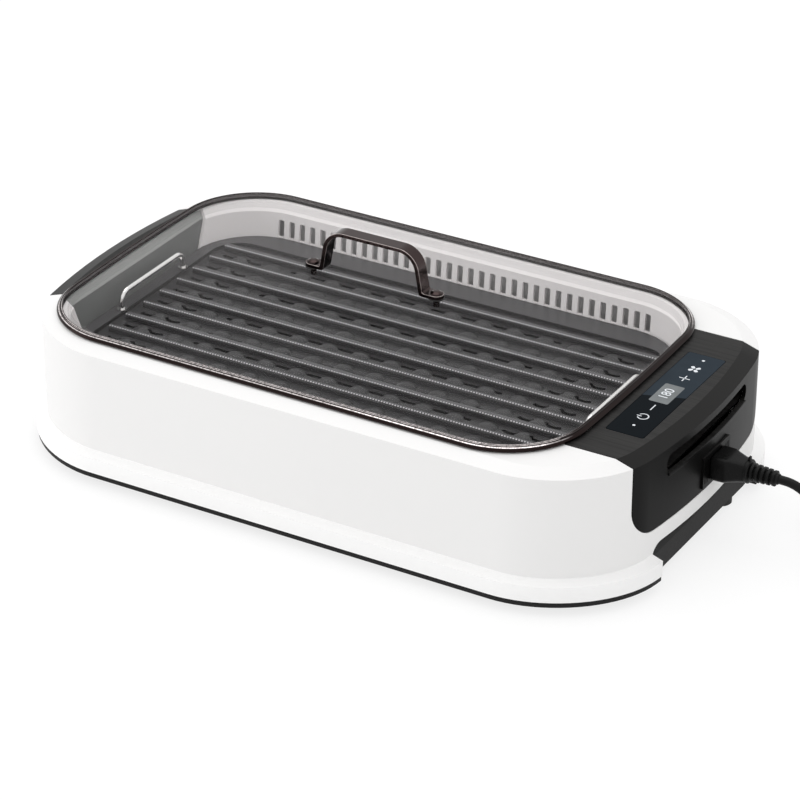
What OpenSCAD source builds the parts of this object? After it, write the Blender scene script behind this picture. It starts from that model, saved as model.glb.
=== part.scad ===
// Electric indoor grill with a lift-off glass lid.
// Millimetres. +X points to the end with the controls, -Y to the front, +Z up.
// The origin is on the table surface, under the middle of the housing.

/* [Cooking opening] */
// Length of the opening at the top
opening_length = 442; // [420:1:460]
// Width of the opening at the top
opening_width = 272; // [260:1:284]
// Corner radius of the opening
opening_radius = 60; // [56:1:66]
// How much the white wall draws in from the top to the plate
wall_draft = 2.5; // [1.5:0.25:3]
// Thickness of the white inner wall
liner_wall = 2.2; // [1.8:0.1:2.4]
// Depth of the plate's seat below the housing top
seat_depth = 33.5; // [33:0.5:35]
// Depth of the tray's seat below the plate's seat
tray_seat_depth = 22; // [21:0.5:23]
// Distance from one vent slot to the next
vent_pitch = 10; // [9:0.1:11]
// Width of a vent slot
vent_width = 5.2; // [4:0.1:6]
// Height of a vent slot
vent_height = 15; // [12:0.5:16]
// How far the row of vent slots runs into the opening's corners
vent_overrun = 14; // [10:1:16]

/* [Housing] */
// Width of the housing in front of and behind the opening
side_width = 24; // [23:0.5:27]
// Width of the housing at the plain end
plain_end_width = 29.5; // [28:0.5:34]
// Width of the housing at the control end
control_end_width = 69.5; // [66:0.5:76]
// Height of the housing top above the table
housing_top = 113.5; // [112:0.5:118]
// Corner radius of the housing wall in plan
housing_radius = 72; // [66:1:78]
// How far each end bulges out at its middle
end_bulge = 22.5; // [20:0.5:24]
// Wall thickness of the moulded shells
shell_wall = 2.6; // [2.3:0.1:2.9]
// Width of the slope round the top edge
chamfer_width = 12; // [10:0.5:13]
// Drop of the slope round the top edge
chamfer_drop = 4.5; // [4:0.5:5]
// How far the plinth stands out from the wall
plinth_out = 8.5; // [8:0.5:9]
// Height of the plinth's upper edge above the table
plinth_top = 27; // [26:0.5:29]
// Drop of the plinth's sloped ledge
ledge_drop = 2.5; // [2:0.5:3]
// Gap between the table and the skirt
skirt_lift = 11.8; // [10.5:0.1:13]
// Half width of the notch in the skirt at each end
notch_half = 82; // [78:1:88]
// Height of the notch's upper edge above the table
notch_top = 34.5; // [32:0.5:37]
// Width of the seams between moulded pieces
seam = 0.3; // [0.2:0.05:0.4]

/* [Base] */
// How far the base pan ends inside the housing's bulged ends
pan_inset = 5; // [4:0.5:7]
// Gap between the base pan and the skirt
pan_gap = 1.9; // [1.5:0.1:2.5]
// How much rounder the base pan's corners are than the skirt's
pan_corner_extra = 12; // [10:1:16]
// Thickness of the base pan's floor and walls
pan_wall = 2.4; // [2:0.1:2.8]
// Height of the base pan's wall above the table
pan_wall_top = 23; // [20:0.5:24]
// Height of a rubber foot
foot_height = 6; // [5:0.5:7]
// Radius of a rubber foot
foot_radius = 8; // [7:0.5:9]
// Width of each exhaust slot in the base pan
exhaust_slot = 4; // [3:0.5:5]

/* [Grill plate] */
// Thickness of the plate
plate_thickness = 4; // [3.5:0.1:4.5]
// Distance from one rib to the next
rib_pitch = 24; // [22:0.5:25]
// Height of a rib above the channel floor
rib_height = 5; // [4:0.1:5.5]
// Width of a rib at its foot
rib_foot = 6.4; // [5:0.1:7]
// Width of a broad rib at its top
broad_rib_top = 4.6; // [3.5:0.1:5]
// Width of a narrow rib at its top
narrow_rib_top = 2.4; // [1.8:0.1:3]
// Distance from one drip slot to the next
slot_pitch = 28.1; // [27:0.1:30]
// Distance of the drip slots from the broad rib beside them
slot_from_rib = 9.1; // [8.8:0.1:9.8]
// Length of a drip slot
slot_length = 13.5; // [10:0.5:15]
// Width of a drip slot
slot_width = 3.4; // [2.5:0.1:4]
// Height of the round humps between the drip slots
hump_height = 2.8; // [2:0.1:3.2]
// Radius of a round hump at its foot
hump_radius = 8.2; // [7:0.1:8.6]
// Diameter of the wire of the plate's handles
bail_wire = 4.5; // [4:0.1:5]
// Width of each plate handle
bail_width = 92; // [80:1:104]
// Height of each plate handle above the plate's edge
bail_height = 17; // [14:0.5:19]

/* [Lid] */
// How far the lid's rim reaches past the opening's sides
lid_overlap_side = 11.7; // [11:0.1:12]
// How far the lid's rim reaches past the opening's ends
lid_overlap_end = 9.2; // [8.5:0.1:9.6]
// How far the lid's ends bulge
lid_bulge = 4; // [3:0.5:5]
// Width of the metal rim
rim_width = 8; // [7:0.1:8.5]
// Height of the metal rim
rim_height = 6; // [5.5:0.1:6.5]
// Thickness of the glass
glass_thickness = 3.6; // [3:0.1:4]
// Rise of the domed glass above its edge
glass_rise = 25.6; // [20:0.5:28]
// Distance between the handle's screws
handle_span = 110; // [100:1:120]
// Height of the handle above the glass
handle_height = 36; // [30:0.5:42]
// Width of the handle's strip
handle_width = 12; // [10:0.5:14]
// Thickness of the handle's strip
handle_thickness = 3; // [2.5:0.1:3.5]

/* [Controls and end caps] */
// Width of the dark end caps
cap_width = 206; // [200:1:208]
// Height of the caps' lower edge above the table
cap_bottom = 47; // [45:0.5:49]
// Corner radius of the caps' lower edge
cap_radius = 22; // [16:1:26]
// Length of the hand slot in each cap
grip_length = 134; // [120:1:140]
// Height of the hand slot
grip_height = 13; // [12:0.5:14]
// Depth of the hand slot's pocket
grip_depth = 24; // [20:0.5:26]
// Length of the touch glass
touch_length = 134; // [120:1:140]
// Width of the touch glass
touch_width = 31; // [28:0.5:32]
// Thickness of the touch glass
touch_thickness = 1.6; // [1.2:0.1:1.8]

/* [Heating and fan] */
// Diameter of the heating tube
tube_diameter = 7.5; // [6.5:0.1:8]
// Bend radius of the heating tube at its middle
tube_bend = 22; // [20:0.5:23]
// Depth of the drip tray below its rim
tray_depth = 22; // [18:0.5:23]
// Thickness of the drip tray
tray_wall = 1.5; // [1.2:0.1:2]
// Outer diameter of the fan rotor
rotor_diameter = 84; // [76:1:90]
// Height of the fan rotor
rotor_height = 16; // [12:0.5:17]
// Number of fan blades
blade_count = 24; // [16:1:30]

/* [Power lead] */
// Diameter of the lead
lead_diameter = 7; // [6.6:0.1:7]
// Height of the power inlet's middle above the table
inlet_z = 63; // [62.5:0.1:63.5]
// Distance of the power inlet's middle from the grill's middle line
inlet_y = 8; // [7:0.5:9]
// Length of the connector's body outside the housing
connector_length = 25; // [23:0.5:26]
// Length of the ribbed strain relief
relief_length = 26; // [24:0.5:28]

/* [Hidden] */

// Facets on round shapes
$fn = 48;
// Points on each rounded corner and on each bulged end
CORNER_STEPS = 9;
END_STEPS = 6;
// Cuts pass this far through what they cut, and prisms along X end beyond every wall here
PASS = 1;
far_x = 600;
// Gap between lift-off pieces and their seats
SEAT_GAP = 0.2;

// Plan half sizes: [half length, half width, corner radius, end bulge]
OPENING = [opening_length / 2, opening_width / 2, opening_radius, 0];
HOUSING = [
    (opening_length + plain_end_width + control_end_width) / 2,
    OPENING[1] + side_width, housing_radius, end_bulge
];
SKIRT = [
    HOUSING[0] + plinth_out, HOUSING[1] + plinth_out,
    housing_radius + plinth_out, end_bulge
];
PAN = [
    HOUSING[0] - pan_inset, SKIRT[1] - shell_wall - pan_gap,
    SKIRT[2] - shell_wall + pan_corner_extra, 0
];
LID = [
    OPENING[0] + lid_overlap_end, OPENING[1] + lid_overlap_side,
    opening_radius + 5, lid_bulge
];

// Heights above the table
pan_floor_top = foot_height + pan_wall;
ledge_low = plinth_top - ledge_drop;
chamfer_z = housing_top - chamfer_drop;
flange_under = housing_top - shell_wall;
seat_z = housing_top - seat_depth;
tray_z = seat_z - tray_seat_depth;
plate_z = seat_z + SEAT_GAP;
margin_z = plate_z + plate_thickness;
channel_z = plate_z + 1;
plate_low = channel_z - 3.4;
lid_z = housing_top + seam;
glass_edge_z = lid_z + (rim_height - glass_thickness) / 2;
glass_top_z = glass_edge_z + glass_thickness + glass_rise;

// Places along the grill
lid_x = (plain_end_width - control_end_width) / 2;
open_right_x = lid_x + OPENING[0];
open_left_x = lid_x - OPENING[0];
tray_shift = -15.5;
tray_x = lid_x + tray_shift;

// The well under the plate's seat, and the hole in its floor that holds the tray
well_draw = 9;
WELL = grown(OPENING, -well_draw);
HOLE = [OPENING[0] + tray_shift - 19.5, OPENING[1] - 17, opening_radius - 16, 0];
tray_ledge = 6;

// A plan size made larger or smaller all round
function grown(p, g) = [p[0] + g, p[1] + g, p[2] + g, p[3]];

// Points of a rounded plan outline with bulged ends, anticlockwise from above
function bulged(p, x, y) = [x + sign(x) * p[3] * (1 - pow(y / p[1], 2)), y];
function corner_points(p, quarter) = [
    for (k = [0:CORNER_STEPS])
        let (a = 90 * quarter + 90 * k / CORNER_STEPS)
        let (sx = quarter == 0 || quarter == 3 ? 1 : -1, sy = quarter < 2 ? 1 : -1)
        bulged(
            p,
            sx * (p[0] - p[3] - p[2]) + p[2] * cos(a),
            sy * (p[1] - p[2]) + p[2] * sin(a)
        )
];
function end_points(p, side) = [
    if (p[3] > 0)
        for (k = [1:END_STEPS - 1])
            bulged(p, side * (p[0] - p[3]), -side * (p[1] - p[2]) * (1 - 2 * k / END_STEPS))
];
function outline(p) = concat(
    corner_points(p, 0), corner_points(p, 1), end_points(p, -1),
    corner_points(p, 2), corner_points(p, 3), end_points(p, 1)
);

// A straight-sided block on a plan outline
module block(p, z0, z1) {
    translate([0, 0, z0])
        linear_extrude(z1 - z0)
            polygon(outline(p));
}

// A closed solid through a stack of outlines of equal point count: levels of [z, points]
module skin(levels) {
    n = len(levels[0][1]);
    m = len(levels);
    points = [for (l = levels) for (q = l[1]) [q[0], q[1], l[0]]];
    polyhedron(
        points,
        concat(
            [[for (k = [0:n - 1]) k]],
            [for (i = [0:m - 2]) for (k = [0:n - 1])
                [i * n + k, (i + 1) * n + k, (i + 1) * n + (k + 1) % n, i * n + (k + 1) % n]],
            [[for (k = [n - 1:-1:0]) (m - 1) * n + k]]
        )
    );
}

// A solid through plan sizes at given heights: steps of [z, plan]
module loft(steps) {
    skin([for (s = steps) [s[0], outline(s[1])]]);
}

// A closed ring of constant section round an outline: profile of [outward, z], anticlockwise
module ring(p, profile) {
    n = len(outline(p));
    m = len(profile);
    points = [for (q = profile) for (w = outline(grown(p, q[0]))) [w[0], w[1], q[1]]];
    polyhedron(
        points,
        [for (j = [0:m - 1]) for (k = [0:n - 1])
            [j * n + k, ((j + 1) % m) * n + k, ((j + 1) % m) * n + (k + 1) % n,
                j * n + (k + 1) % n]]
    );
}

// A shape drawn in Y and Z, drawn out along X from x0 to x1
module along_x(x0, x1) {
    translate([x0, 0, 0])
        rotate([90, 0, 90])
            linear_extrude(x1 - x0)
                children();
}

// A round bar along X
module bar_x(x0, x1, y, z, d) {
    translate([x0, y, z])
        rotate([0, 90, 0])
            cylinder(d = d, h = x1 - x0);
}

// A flat shape with rounded corners
module rounded(w, h, r) {
    square([w - 2 * r, h], center = true);
    square([w, h - 2 * r], center = true);
    for (sx = [-1, 1])
        for (sy = [-1, 1])
            translate([sx * (w / 2 - r), sy * (h / 2 - r)])
                circle(r);
}

// The outside of the housing, caps included
module housing_outside() {
    loft([
        [skirt_lift, SKIRT],
        [ledge_low, SKIRT],
        [plinth_top, HOUSING],
        [chamfer_z, HOUSING],
        [housing_top, grown(HOUSING, -chamfer_width)]
    ]);
}

// The space inside the housing's walls
module housing_inside() {
    loft([
        [skirt_lift - PASS, grown(SKIRT, -shell_wall)],
        [ledge_low - shell_wall / 2, grown(SKIRT, -shell_wall)],
        [plinth_top - shell_wall / 2, grown(HOUSING, -shell_wall)],
        [chamfer_z - shell_wall / 2, grown(HOUSING, -shell_wall)],
        [flange_under, grown(HOUSING, -chamfer_width - shell_wall / 2)]
    ]);
}

// The end cap's outline seen from the end, drawn in Y and Z
module cap_face(gap) {
    r = cap_radius + gap;
    half = cap_width / 2 + gap;
    low = cap_bottom - gap;
    translate([-half, low + r])
        square([2 * half, housing_top - low]);
    translate([-half + r, low])
        square([2 * (half - r), r + PASS]);
    for (s = [-1, 1])
        translate([s * (half - r), low + r])
            circle(r);
}

// The notch in the skirt, seen from the end
notch_radius = 12;
module notch_face() {
    translate([-notch_half, skirt_lift - 2 * PASS])
        square([2 * notch_half, notch_top - notch_radius - skirt_lift + 2 * PASS]);
    translate([-notch_half + notch_radius, notch_top - notch_radius - PASS])
        square([2 * (notch_half - notch_radius), notch_radius + PASS]);
    for (s = [-1, 1])
        translate([s * (notch_half - notch_radius), notch_top - notch_radius])
            circle(notch_radius);
}

// Posts that join the housing and the liner to the base pan
post_radius = 5;
screw_bore = 1.8;
post_y = (OPENING[1] + liner_wall + HOUSING[1] - shell_wall) / 2;
housing_post_x = OPENING[0] - 121;
liner_post_x = OPENING[0] - 71;
function posts(x) = [for (sx = [-1, 1]) for (sy = [-1, 1]) [lid_x + sx * x, sy * post_y]];
HOUSING_POSTS = posts(housing_post_x);
LINER_POSTS = posts(liner_post_x);
housing_post_z = 30;
ear_thickness = 3;
ear_z = tray_z - ear_thickness;

module housing() {
    color("whitesmoke")
    difference() {
        union() {
            difference() {
                housing_outside();
                housing_inside();
            }
            for (q = HOUSING_POSTS)
                translate([q[0], q[1], housing_post_z])
                    cylinder(r = post_radius, h = flange_under - housing_post_z);
        }
        translate([lid_x, 0, 0])
            block(grown(OPENING, liner_wall + seam), flange_under - PASS, housing_top + PASS);
        for (s = [0, 1])
            mirror([s, 0, 0]) {
                along_x(s == 0 ? open_right_x - 2 : -open_left_x - 2, far_x)
                    cap_face(seam);
                along_x(HOUSING[0] / 2, far_x)
                    notch_face();
            }
        for (q = HOUSING_POSTS)
            translate([q[0], q[1], housing_post_z - PASS])
                cylinder(r = screw_bore, h = 14);
    }
}

// Inner wall with the vent slots, the plate's seat and the tray's well
bead = 3;
flange_out = 6;
vent_count = floor((opening_length - 2 * opening_radius + 2 * vent_overrun) / vent_pitch);
module vent_row(side) {
    z0 = margin_z;
    for (k = [0:vent_count - 1])
        translate([
            (k - (vent_count - 1) / 2) * vent_pitch - vent_width / 2,
            side * OPENING[1] - 8,
            z0
        ])
            cube([vent_width, 16, vent_height]);
}

module inner_liner() {
    outer = grown(OPENING, liner_wall);
    upper_z = housing_top - 0.4;
    color("white")
    difference() {
        translate([lid_x, 0, 0])
            union() {
                difference() {
                    union() {
                        loft([
                            [seat_z - liner_wall, grown(outer, -wall_draft)],
                            [upper_z, outer]
                        ]);
                        block(grown(OPENING, flange_out), flange_under - liner_wall, flange_under);
                    }
                    loft([
                        [seat_z, grown(OPENING, -wall_draft)],
                        [housing_top - bead, OPENING],
                        [housing_top + PASS, grown(OPENING, bead)]
                    ]);
                    block(WELL, seat_z - 2 * liner_wall, seat_z + PASS);
                    vent_row(-1);
                    vent_row(1);
                }
                difference() {
                    block(grown(WELL, liner_wall), ear_z, seat_z - liner_wall);
                    block(WELL, tray_z, seat_z);
                    translate([tray_shift, 0, 0])
                        block(HOLE, ear_z - PASS, tray_z + PASS);
                }
                for (sx = [-1, 1])
                    for (sy = [-1, 1])
                        translate([sx * liner_post_x, sy * post_y, ear_z])
                            difference() {
                                union() {
                                    cylinder(r = post_radius + 2, h = ear_thickness);
                                    translate([-post_radius - 2, sy < 0 ? 0 : -20, 0])
                                        cube([2 * post_radius + 4, 20, ear_thickness]);
                                }
                                translate([0, 0, -PASS])
                                    cylinder(r = screw_bore, h = ear_thickness + 2 * PASS);
                                translate([-sx * liner_post_x, -sy * post_y, -PASS])
                                    block(WELL, 0, ear_thickness + 2 * PASS);
                            }
            }
        // The end caps' inner walls take the place of this wall
        for (s = [0, 1])
            mirror([s, 0, 0])
                along_x(s == 0 ? open_right_x - 25 : -open_left_x - 25, far_x)
                    translate([-cap_width / 2 - seam, seat_z])
                        square([cap_width + 2 * seam, seat_depth + PASS]);
        // Way for the heating tube's terminal block
        translate([
            terminal_x - terminal_length / 2 - 6,
            -terminal_width / 2 - 3,
            tray_z - ear_thickness - PASS
        ])
            cube([terminal_length + 8, terminal_width + 6, ear_thickness + 2 * PASS]);
    }
}

// Base pan
apron_half = notch_half - 4;
pan_screw_radius = 3.6;
rear_foot = [PAN[0] - 9.5, 56];
front_foot = [PAN[0] - 33.5, 52 - PAN[1]];
FEET = [for (s = [-1, 1]) for (q = [rear_foot, front_foot]) [s * q[0], q[1]]];
module base_pan() {
    color([0.1, 0.1, 0.11])
    difference() {
        union() {
            difference() {
                loft([
                    [foot_height, grown(PAN, -2)],
                    [foot_height + 2, PAN],
                    [pan_wall_top, grown(PAN, -2)]
                ]);
                loft([
                    [pan_floor_top, grown(PAN, -2 - pan_wall)],
                    [pan_wall_top + PASS, grown(PAN, -2 - pan_wall)]
                ]);
            }
            for (s = [0, 1])
                mirror([s, 0, 0])
                    translate([0, apron_half, 0])
                        rotate([90, 0, 0])
                            linear_extrude(2 * apron_half)
                                polygon([
                                    [PAN[0] - 6, pan_floor_top - 1],
                                    [PAN[0] - 1, pan_floor_top - 1],
                                    [PAN[0] - 2, pan_wall_top],
                                    [PAN[0] - 6.5, notch_top + 3],
                                    [PAN[0] - 9, notch_top + 3],
                                    [PAN[0] - 6, pan_wall_top]
                                ]);
            for (q = HOUSING_POSTS)
                translate([q[0], q[1], foot_height + 1])
                    cylinder(r = post_radius, h = housing_post_z - foot_height - 1);
            for (q = LINER_POSTS)
                translate([q[0], q[1], foot_height + 1])
                    cylinder(r = post_radius, h = ear_z - foot_height - 1);
        }
        for (q = HOUSING_POSTS)
            translate([q[0], q[1], foot_height - PASS]) {
                cylinder(r = screw_bore + 0.2, h = housing_post_z);
                cylinder(r = pan_screw_radius + 0.4, h = PASS + 2.5);
            }
        for (q = LINER_POSTS)
            translate([q[0], q[1], ear_z - 14])
                cylinder(r = screw_bore, h = 20);
        // Exhaust slots under the fan's mouth
        for (k = [0:7])
            translate([fan_x - 34 + k * 2.4 * exhaust_slot, fan_mouth_y, foot_height - PASS])
                cube([exhaust_slot, 40, pan_wall + 2 * PASS]);
    }
}

module rubber_feet() {
    color([0.06, 0.06, 0.06])
    for (q = FEET)
        translate([q[0], q[1], 0])
            rotate_extrude()
                polygon([
                    [0, 0], [foot_radius - 1, 0], [foot_radius, 1],
                    [foot_radius, foot_height], [0, foot_height]
                ]);
}

// End caps
cap_inner_low = seat_z + SEAT_GAP;
strip_rise = 8;
strip_run = 7;
grip_top = chamfer_z - 6;
grip_mid_z = grip_top - grip_height / 2;
module grip_face(g) {
    translate([0, grip_mid_z])
        rounded(grip_length + 2 * g, grip_height + 2 * g, grip_height / 2 + g - 0.01);
}

// A cap over the +X end, from the opening's edge at open_x down the outside wall
module end_cap(open_x) {
    pocket_back = HOUSING[0] - grip_depth - 6;
    difference() {
        union() {
            intersection() {
                difference() {
                    housing_outside();
                    housing_inside();
                }
                along_x(open_x + strip_run, far_x)
                    cap_face(0);
            }
            // Inner wall beside the plate, with the sloped strip at its top
            translate([open_x, cap_width / 2, 0])
                rotate([90, 0, 0])
                    linear_extrude(cap_width)
                        polygon([
                            [0, cap_inner_low], [liner_wall, cap_inner_low],
                            [liner_wall, housing_top - strip_rise - 0.7],
                            [strip_run + 0.7, flange_under], [strip_run + PASS, flange_under],
                            [strip_run + PASS, housing_top], [strip_run, housing_top],
                            [0, housing_top - strip_rise]
                        ]);
            // Pocket behind the hand slot
            intersection() {
                along_x(pocket_back - shell_wall, far_x)
                    grip_face(2);
                housing_outside();
            }
        }
        along_x(pocket_back, far_x)
            grip_face(0);
    }
}

touch_x = (open_right_x + HOUSING[0]) / 2 - 3.5;
inlet_width = 25;
inlet_height = 17;
surround_out = 1.4;
inlet_face_x = HOUSING[0] + surround_out;
module right_end_cap() {
    color([0.2, 0.19, 0.19])
    difference() {
        union() {
            end_cap(open_right_x);
            along_x(HOUSING[0] - shell_wall, inlet_face_x)
                translate([inlet_y, inlet_z])
                    rounded(45, 27, 2);
        }
        along_x(HOUSING[0] - 8, inlet_face_x + PASS)
            translate([inlet_y, inlet_z])
                rounded(inlet_width + 2 * seam, inlet_height + 2 * seam, 2);
        translate([touch_x, 0, housing_top - touch_thickness + 0.2])
            linear_extrude(5)
                rounded(touch_width + 2 * seam, touch_length + 2 * seam, 2);
    }
}

module left_end_cap() {
    color([0.2, 0.19, 0.19])
    mirror([1, 0, 0])
        end_cap(-open_left_x);
}

module touch_glass() {
    color([0.05, 0.08, 0.11])
    translate([touch_x, 0, housing_top - touch_thickness + 0.2])
        linear_extrude(touch_thickness)
            rounded(touch_width, touch_length, 2);
}

// Control board hangs under the touch glass
board_z = flange_under - 5.2;
module display_module() {
    color([0.75, 0.8, 0.85])
    translate([touch_x - 8, -15, board_z + 1.6])
        cube([16, 30, flange_under - board_z - 1.6]);
}

module control_board() {
    color([0.05, 0.3, 0.15])
    translate([touch_x - touch_width / 2 + 2, -touch_length / 2 + 4, board_z])
        cube([touch_width - 8, touch_length - 8, 1.6]);
}

// Power board on the base pan's floor, beside the inlet
board_length = 44;
board_width = 74;
board_inset = 5;
board_x = PAN[0] - 68.5;
board_y = inlet_y - 104;
module power_board() {
    translate([board_x, board_y, pan_floor_top]) {
        color([0.12, 0.32, 0.18]) {
            translate([0, 0, board_inset])
                cube([board_length, board_width, 1.6]);
            for (x = [board_inset, board_length - board_inset])
                for (y = [board_inset, board_width - board_inset])
                    translate([x, y, 0])
                        cylinder(r = 2.5, h = board_inset);
        }
        // Relay and capacitor
        color("black")
        translate([8, 12, board_inset + 1.6])
            cube([18, 22, 15]);
        color("steelblue")
        translate([board_length - 10, board_width - 23, board_inset + 1.6])
            cylinder(r = 6, h = 18);
    }
}

// Power inlet behind the cap
inlet_back_x = HOUSING[0] - 22;
module power_inlet() {
    color([0.15, 0.15, 0.15])
    difference() {
        along_x(inlet_back_x - 4, HOUSING[0] - shell_wall - 4 * seam)
            translate([inlet_y, inlet_z])
                rounded(inlet_width + 6, inlet_height + 6, 2);
        along_x(inlet_back_x, far_x)
            translate([inlet_y, inlet_z])
                rounded(inlet_width, inlet_height, 2);
    }
}

pin_spacing = 12;
pin_diameter = 4;
module inlet_pins() {
    color("silver")
    for (s = [-1, 1]) {
        bar_x(inlet_back_x, inlet_face_x - 5, inlet_y + s * pin_spacing / 2, inlet_z, pin_diameter);
    }
}

// Element socket on a pillar, with its mouth up
terminal_x = open_right_x - 22;
terminal_length = 22;
terminal_width = 46;
socket_top = tray_z + 1;
blade_spacing = 24;
module element_socket() {
    color([0.85, 0.82, 0.74])
    difference() {
        union() {
            translate([terminal_x - 9, -20, socket_top - 16])
                cube([18, 40, 16]);
            translate([terminal_x - 5, -14, pan_floor_top])
                cube([10, 28, socket_top - 15 - pan_floor_top]);
        }
        for (s = [-1, 1])
            translate([terminal_x - 4, s * blade_spacing / 2 - 1.2, socket_top - 12])
                cube([8, 2.4, 12 + PASS]);
    }
}

module thermostat_probe() {
    color("silver")
    translate([terminal_x, 0, socket_top])
        rotate_extrude()
            polygon([[0, 0], [3, 0], [3, 1], [1.6, 1.6], [1.6, 3.4], [0, 3.6]]);
}

// Extractor fan under the drip tray
fan_x = lid_x - 130;
fan_base_z = pan_floor_top;
scroll_wall = 2;
rotor_gap = 5;
scroll_radius = rotor_diameter / 2 + rotor_gap;
rotor_z = fan_base_z + 4;
scroll_top = rotor_z + rotor_height + 3;
fan_mouth_y = scroll_radius - 6;
module fan_scroll() {
    color([0.16, 0.16, 0.17])
    translate([fan_x, 0, 0])
        difference() {
            union() {
                translate([0, 0, fan_base_z])
                    cylinder(r = scroll_radius + scroll_wall, h = scroll_top - fan_base_z);
                translate([-38, 0, fan_base_z])
                    cube([76, fan_mouth_y + 46, scroll_top - fan_base_z]);
            }
            translate([0, 0, fan_base_z - PASS])
                cylinder(r = scroll_radius, h = scroll_top - fan_base_z + PASS - scroll_wall);
            translate([-36, 0, fan_base_z - PASS])
                cube([72, fan_mouth_y + 44, scroll_top - fan_base_z + PASS - scroll_wall]);
            translate([0, 0, scroll_top - 2 * scroll_wall])
                cylinder(r = rotor_diameter / 2 - 14, h = 3 * scroll_wall);
        }
}

motor_radius = 17;
shaft_radius = 1.5;
motor_top = rotor_z + 3;
module fan_motor() {
    color("dimgray")
    difference() {
        translate([fan_x, 0, fan_base_z])
            cylinder(r = motor_radius, h = motor_top - fan_base_z);
        translate([fan_x, 0, fan_base_z + 1])
            cylinder(r = shaft_radius + 0.3, h = motor_top);
    }
}

module fan_shaft() {
    color("silver")
    translate([fan_x, 0, fan_base_z + 1.3])
        cylinder(r = shaft_radius, h = rotor_z + rotor_height - fan_base_z - 2);
}

rotor_floor = 1.6;
hub_radius = 6;
module fan_rotor() {
    floor_z = motor_top + 0.8;
    r = rotor_diameter / 2;
    color([0.2, 0.2, 0.21])
    translate([fan_x, 0, floor_z])
        difference() {
            union() {
                cylinder(r = r, h = rotor_floor);
                cylinder(r = hub_radius, h = rotor_height - 4);
                for (k = [0:blade_count - 1])
                    rotate([0, 0, 360 * k / blade_count])
                        translate([r - 6, 0, 0])
                            rotate([0, 0, 35])
                                translate([-5, -0.6, rotor_floor - 0.5])
                                    cube([9, 1.2, rotor_height - 6]);
                translate([0, 0, rotor_height - 6])
                    difference() {
                        cylinder(r = r, h = 1.2);
                        translate([0, 0, -PASS])
                            cylinder(r = r - 11, h = 1.2 + 2 * PASS);
                    }
            }
            translate([0, 0, -PASS])
                cylinder(r = shaft_radius, h = rotor_height);
        }
}

// Wires from the inlet to the board, the socket and the fan
wire_diameter = 3;
wire_z = pan_floor_top + wire_diameter / 2;
module wiring_harness() {
    in_x = inlet_back_x - 5.8;
    low_z = wire_z + 0.2;
    color([0.6, 0.12, 0.1]) {
        swept_tube([
            [in_x, inlet_y, inlet_z], [in_x - 0.5, inlet_y, 40], [in_x - 1.5, inlet_y, 22],
            [in_x - 5, 5, 13], [in_x - 11, -1, low_z], [in_x - 20, -8, low_z]
        ], wire_diameter / 2, 8);
        swept_tube([
            [board_x - 1.8, -40, low_z], [terminal_x + 13, -22, low_z], [terminal_x + 11.5, -12, 16],
            [terminal_x + 11.1, -9, 26], [terminal_x + 10.9, -8, 40]
        ], wire_diameter / 2, 8);
        swept_tube([
            [board_x - 2, -60, low_z], [150, -63, low_z], [50, -60, low_z],
            [-50, -62, low_z], [fan_x + scroll_radius + 3, -24, low_z]
        ], wire_diameter / 2, 8);
    }
}

module screw(head_radius, head_height, length) {
    cylinder(r = head_radius, h = head_height, $fn = 24);
    cylinder(r = screw_bore, h = length, $fn = 24);
}

module base_screws() {
    color("gray")
    for (q = HOUSING_POSTS)
        translate([q[0], q[1], foot_height + 0.3])
            screw(pan_screw_radius, 1.2, housing_post_z + 8 - foot_height);
}

module liner_screws() {
    color("gray")
    for (q = LINER_POSTS)
        translate([q[0], q[1], tray_z + 1.8])
            mirror([0, 0, 1])
                screw(pan_screw_radius, 1.8, 12);
}

// Drip tray
tray_clear = 0.8;
module drip_tray() {
    rim = grown(HOLE, tray_ledge);
    body = grown(HOLE, -tray_clear);
    low = tray_z + SEAT_GAP - tray_depth;
    top = tray_z + SEAT_GAP + 2;
    color([0.22, 0.22, 0.23])
    translate([tray_x, 0, 0])
        difference() {
            union() {
                block(rim, tray_z + SEAT_GAP, top);
                loft([[low, grown(body, -5)], [tray_z + SEAT_GAP, body]]);
            }
            loft([
                [low + tray_wall, grown(body, -5 - tray_wall)],
                [top + PASS, grown(body, -tray_wall + 0.3)]
            ]);
        }
}

// Heating tube: straight runs joined by round bends, ends in the terminal block
tube_z = seat_z - 11;
run_y = 15;
run_right_x = terminal_x - 51;
run_left_x = open_left_x + 59;
function run_at(k) = run_y + 2 * tube_bend * k;
outer_run_x = run_left_x - tube_bend - 12;

module bend(x, y, from_angle, sweep_angle) {
    translate([x, y, tube_z])
        rotate([0, 0, from_angle])
            rotate_extrude(angle = sweep_angle)
                translate([tube_bend, 0])
                    circle(d = tube_diameter);
}

module half_tube() {
    far = run_at(2);
    bar_x(run_left_x, terminal_x - 8, run_at(0), tube_z, tube_diameter);
    bend(run_left_x, run_at(0) + tube_bend, 90, 180);
    bar_x(run_left_x, run_right_x, run_at(1), tube_z, tube_diameter);
    bend(run_right_x, run_at(1) + tube_bend, -90, 180);
    bar_x(outer_run_x + tube_bend, run_right_x, far, tube_z, tube_diameter);
    bend(outer_run_x + tube_bend, far - tube_bend, 90, 90);
    translate([outer_run_x, 0, tube_z])
        rotate([-90, 0, 0])
            cylinder(d = tube_diameter, h = far - tube_bend);
}

module heating_tube() {
    color([0.3, 0.3, 0.32]) {
        half_tube();
        mirror([0, 1, 0])
            half_tube();
    }
}

block_low = socket_top + 5;
module terminal_block() {
    color([0.16, 0.15, 0.15])
    difference() {
        translate([terminal_x - terminal_length / 2, -terminal_width / 2, block_low])
            cube([terminal_length, terminal_width, plate_low - 1 - block_low]);
        for (s = [-1, 1])
            bar_x(terminal_x - terminal_length, terminal_x - 8, s * run_at(0), tube_z,
                tube_diameter);
    }
}

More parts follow.
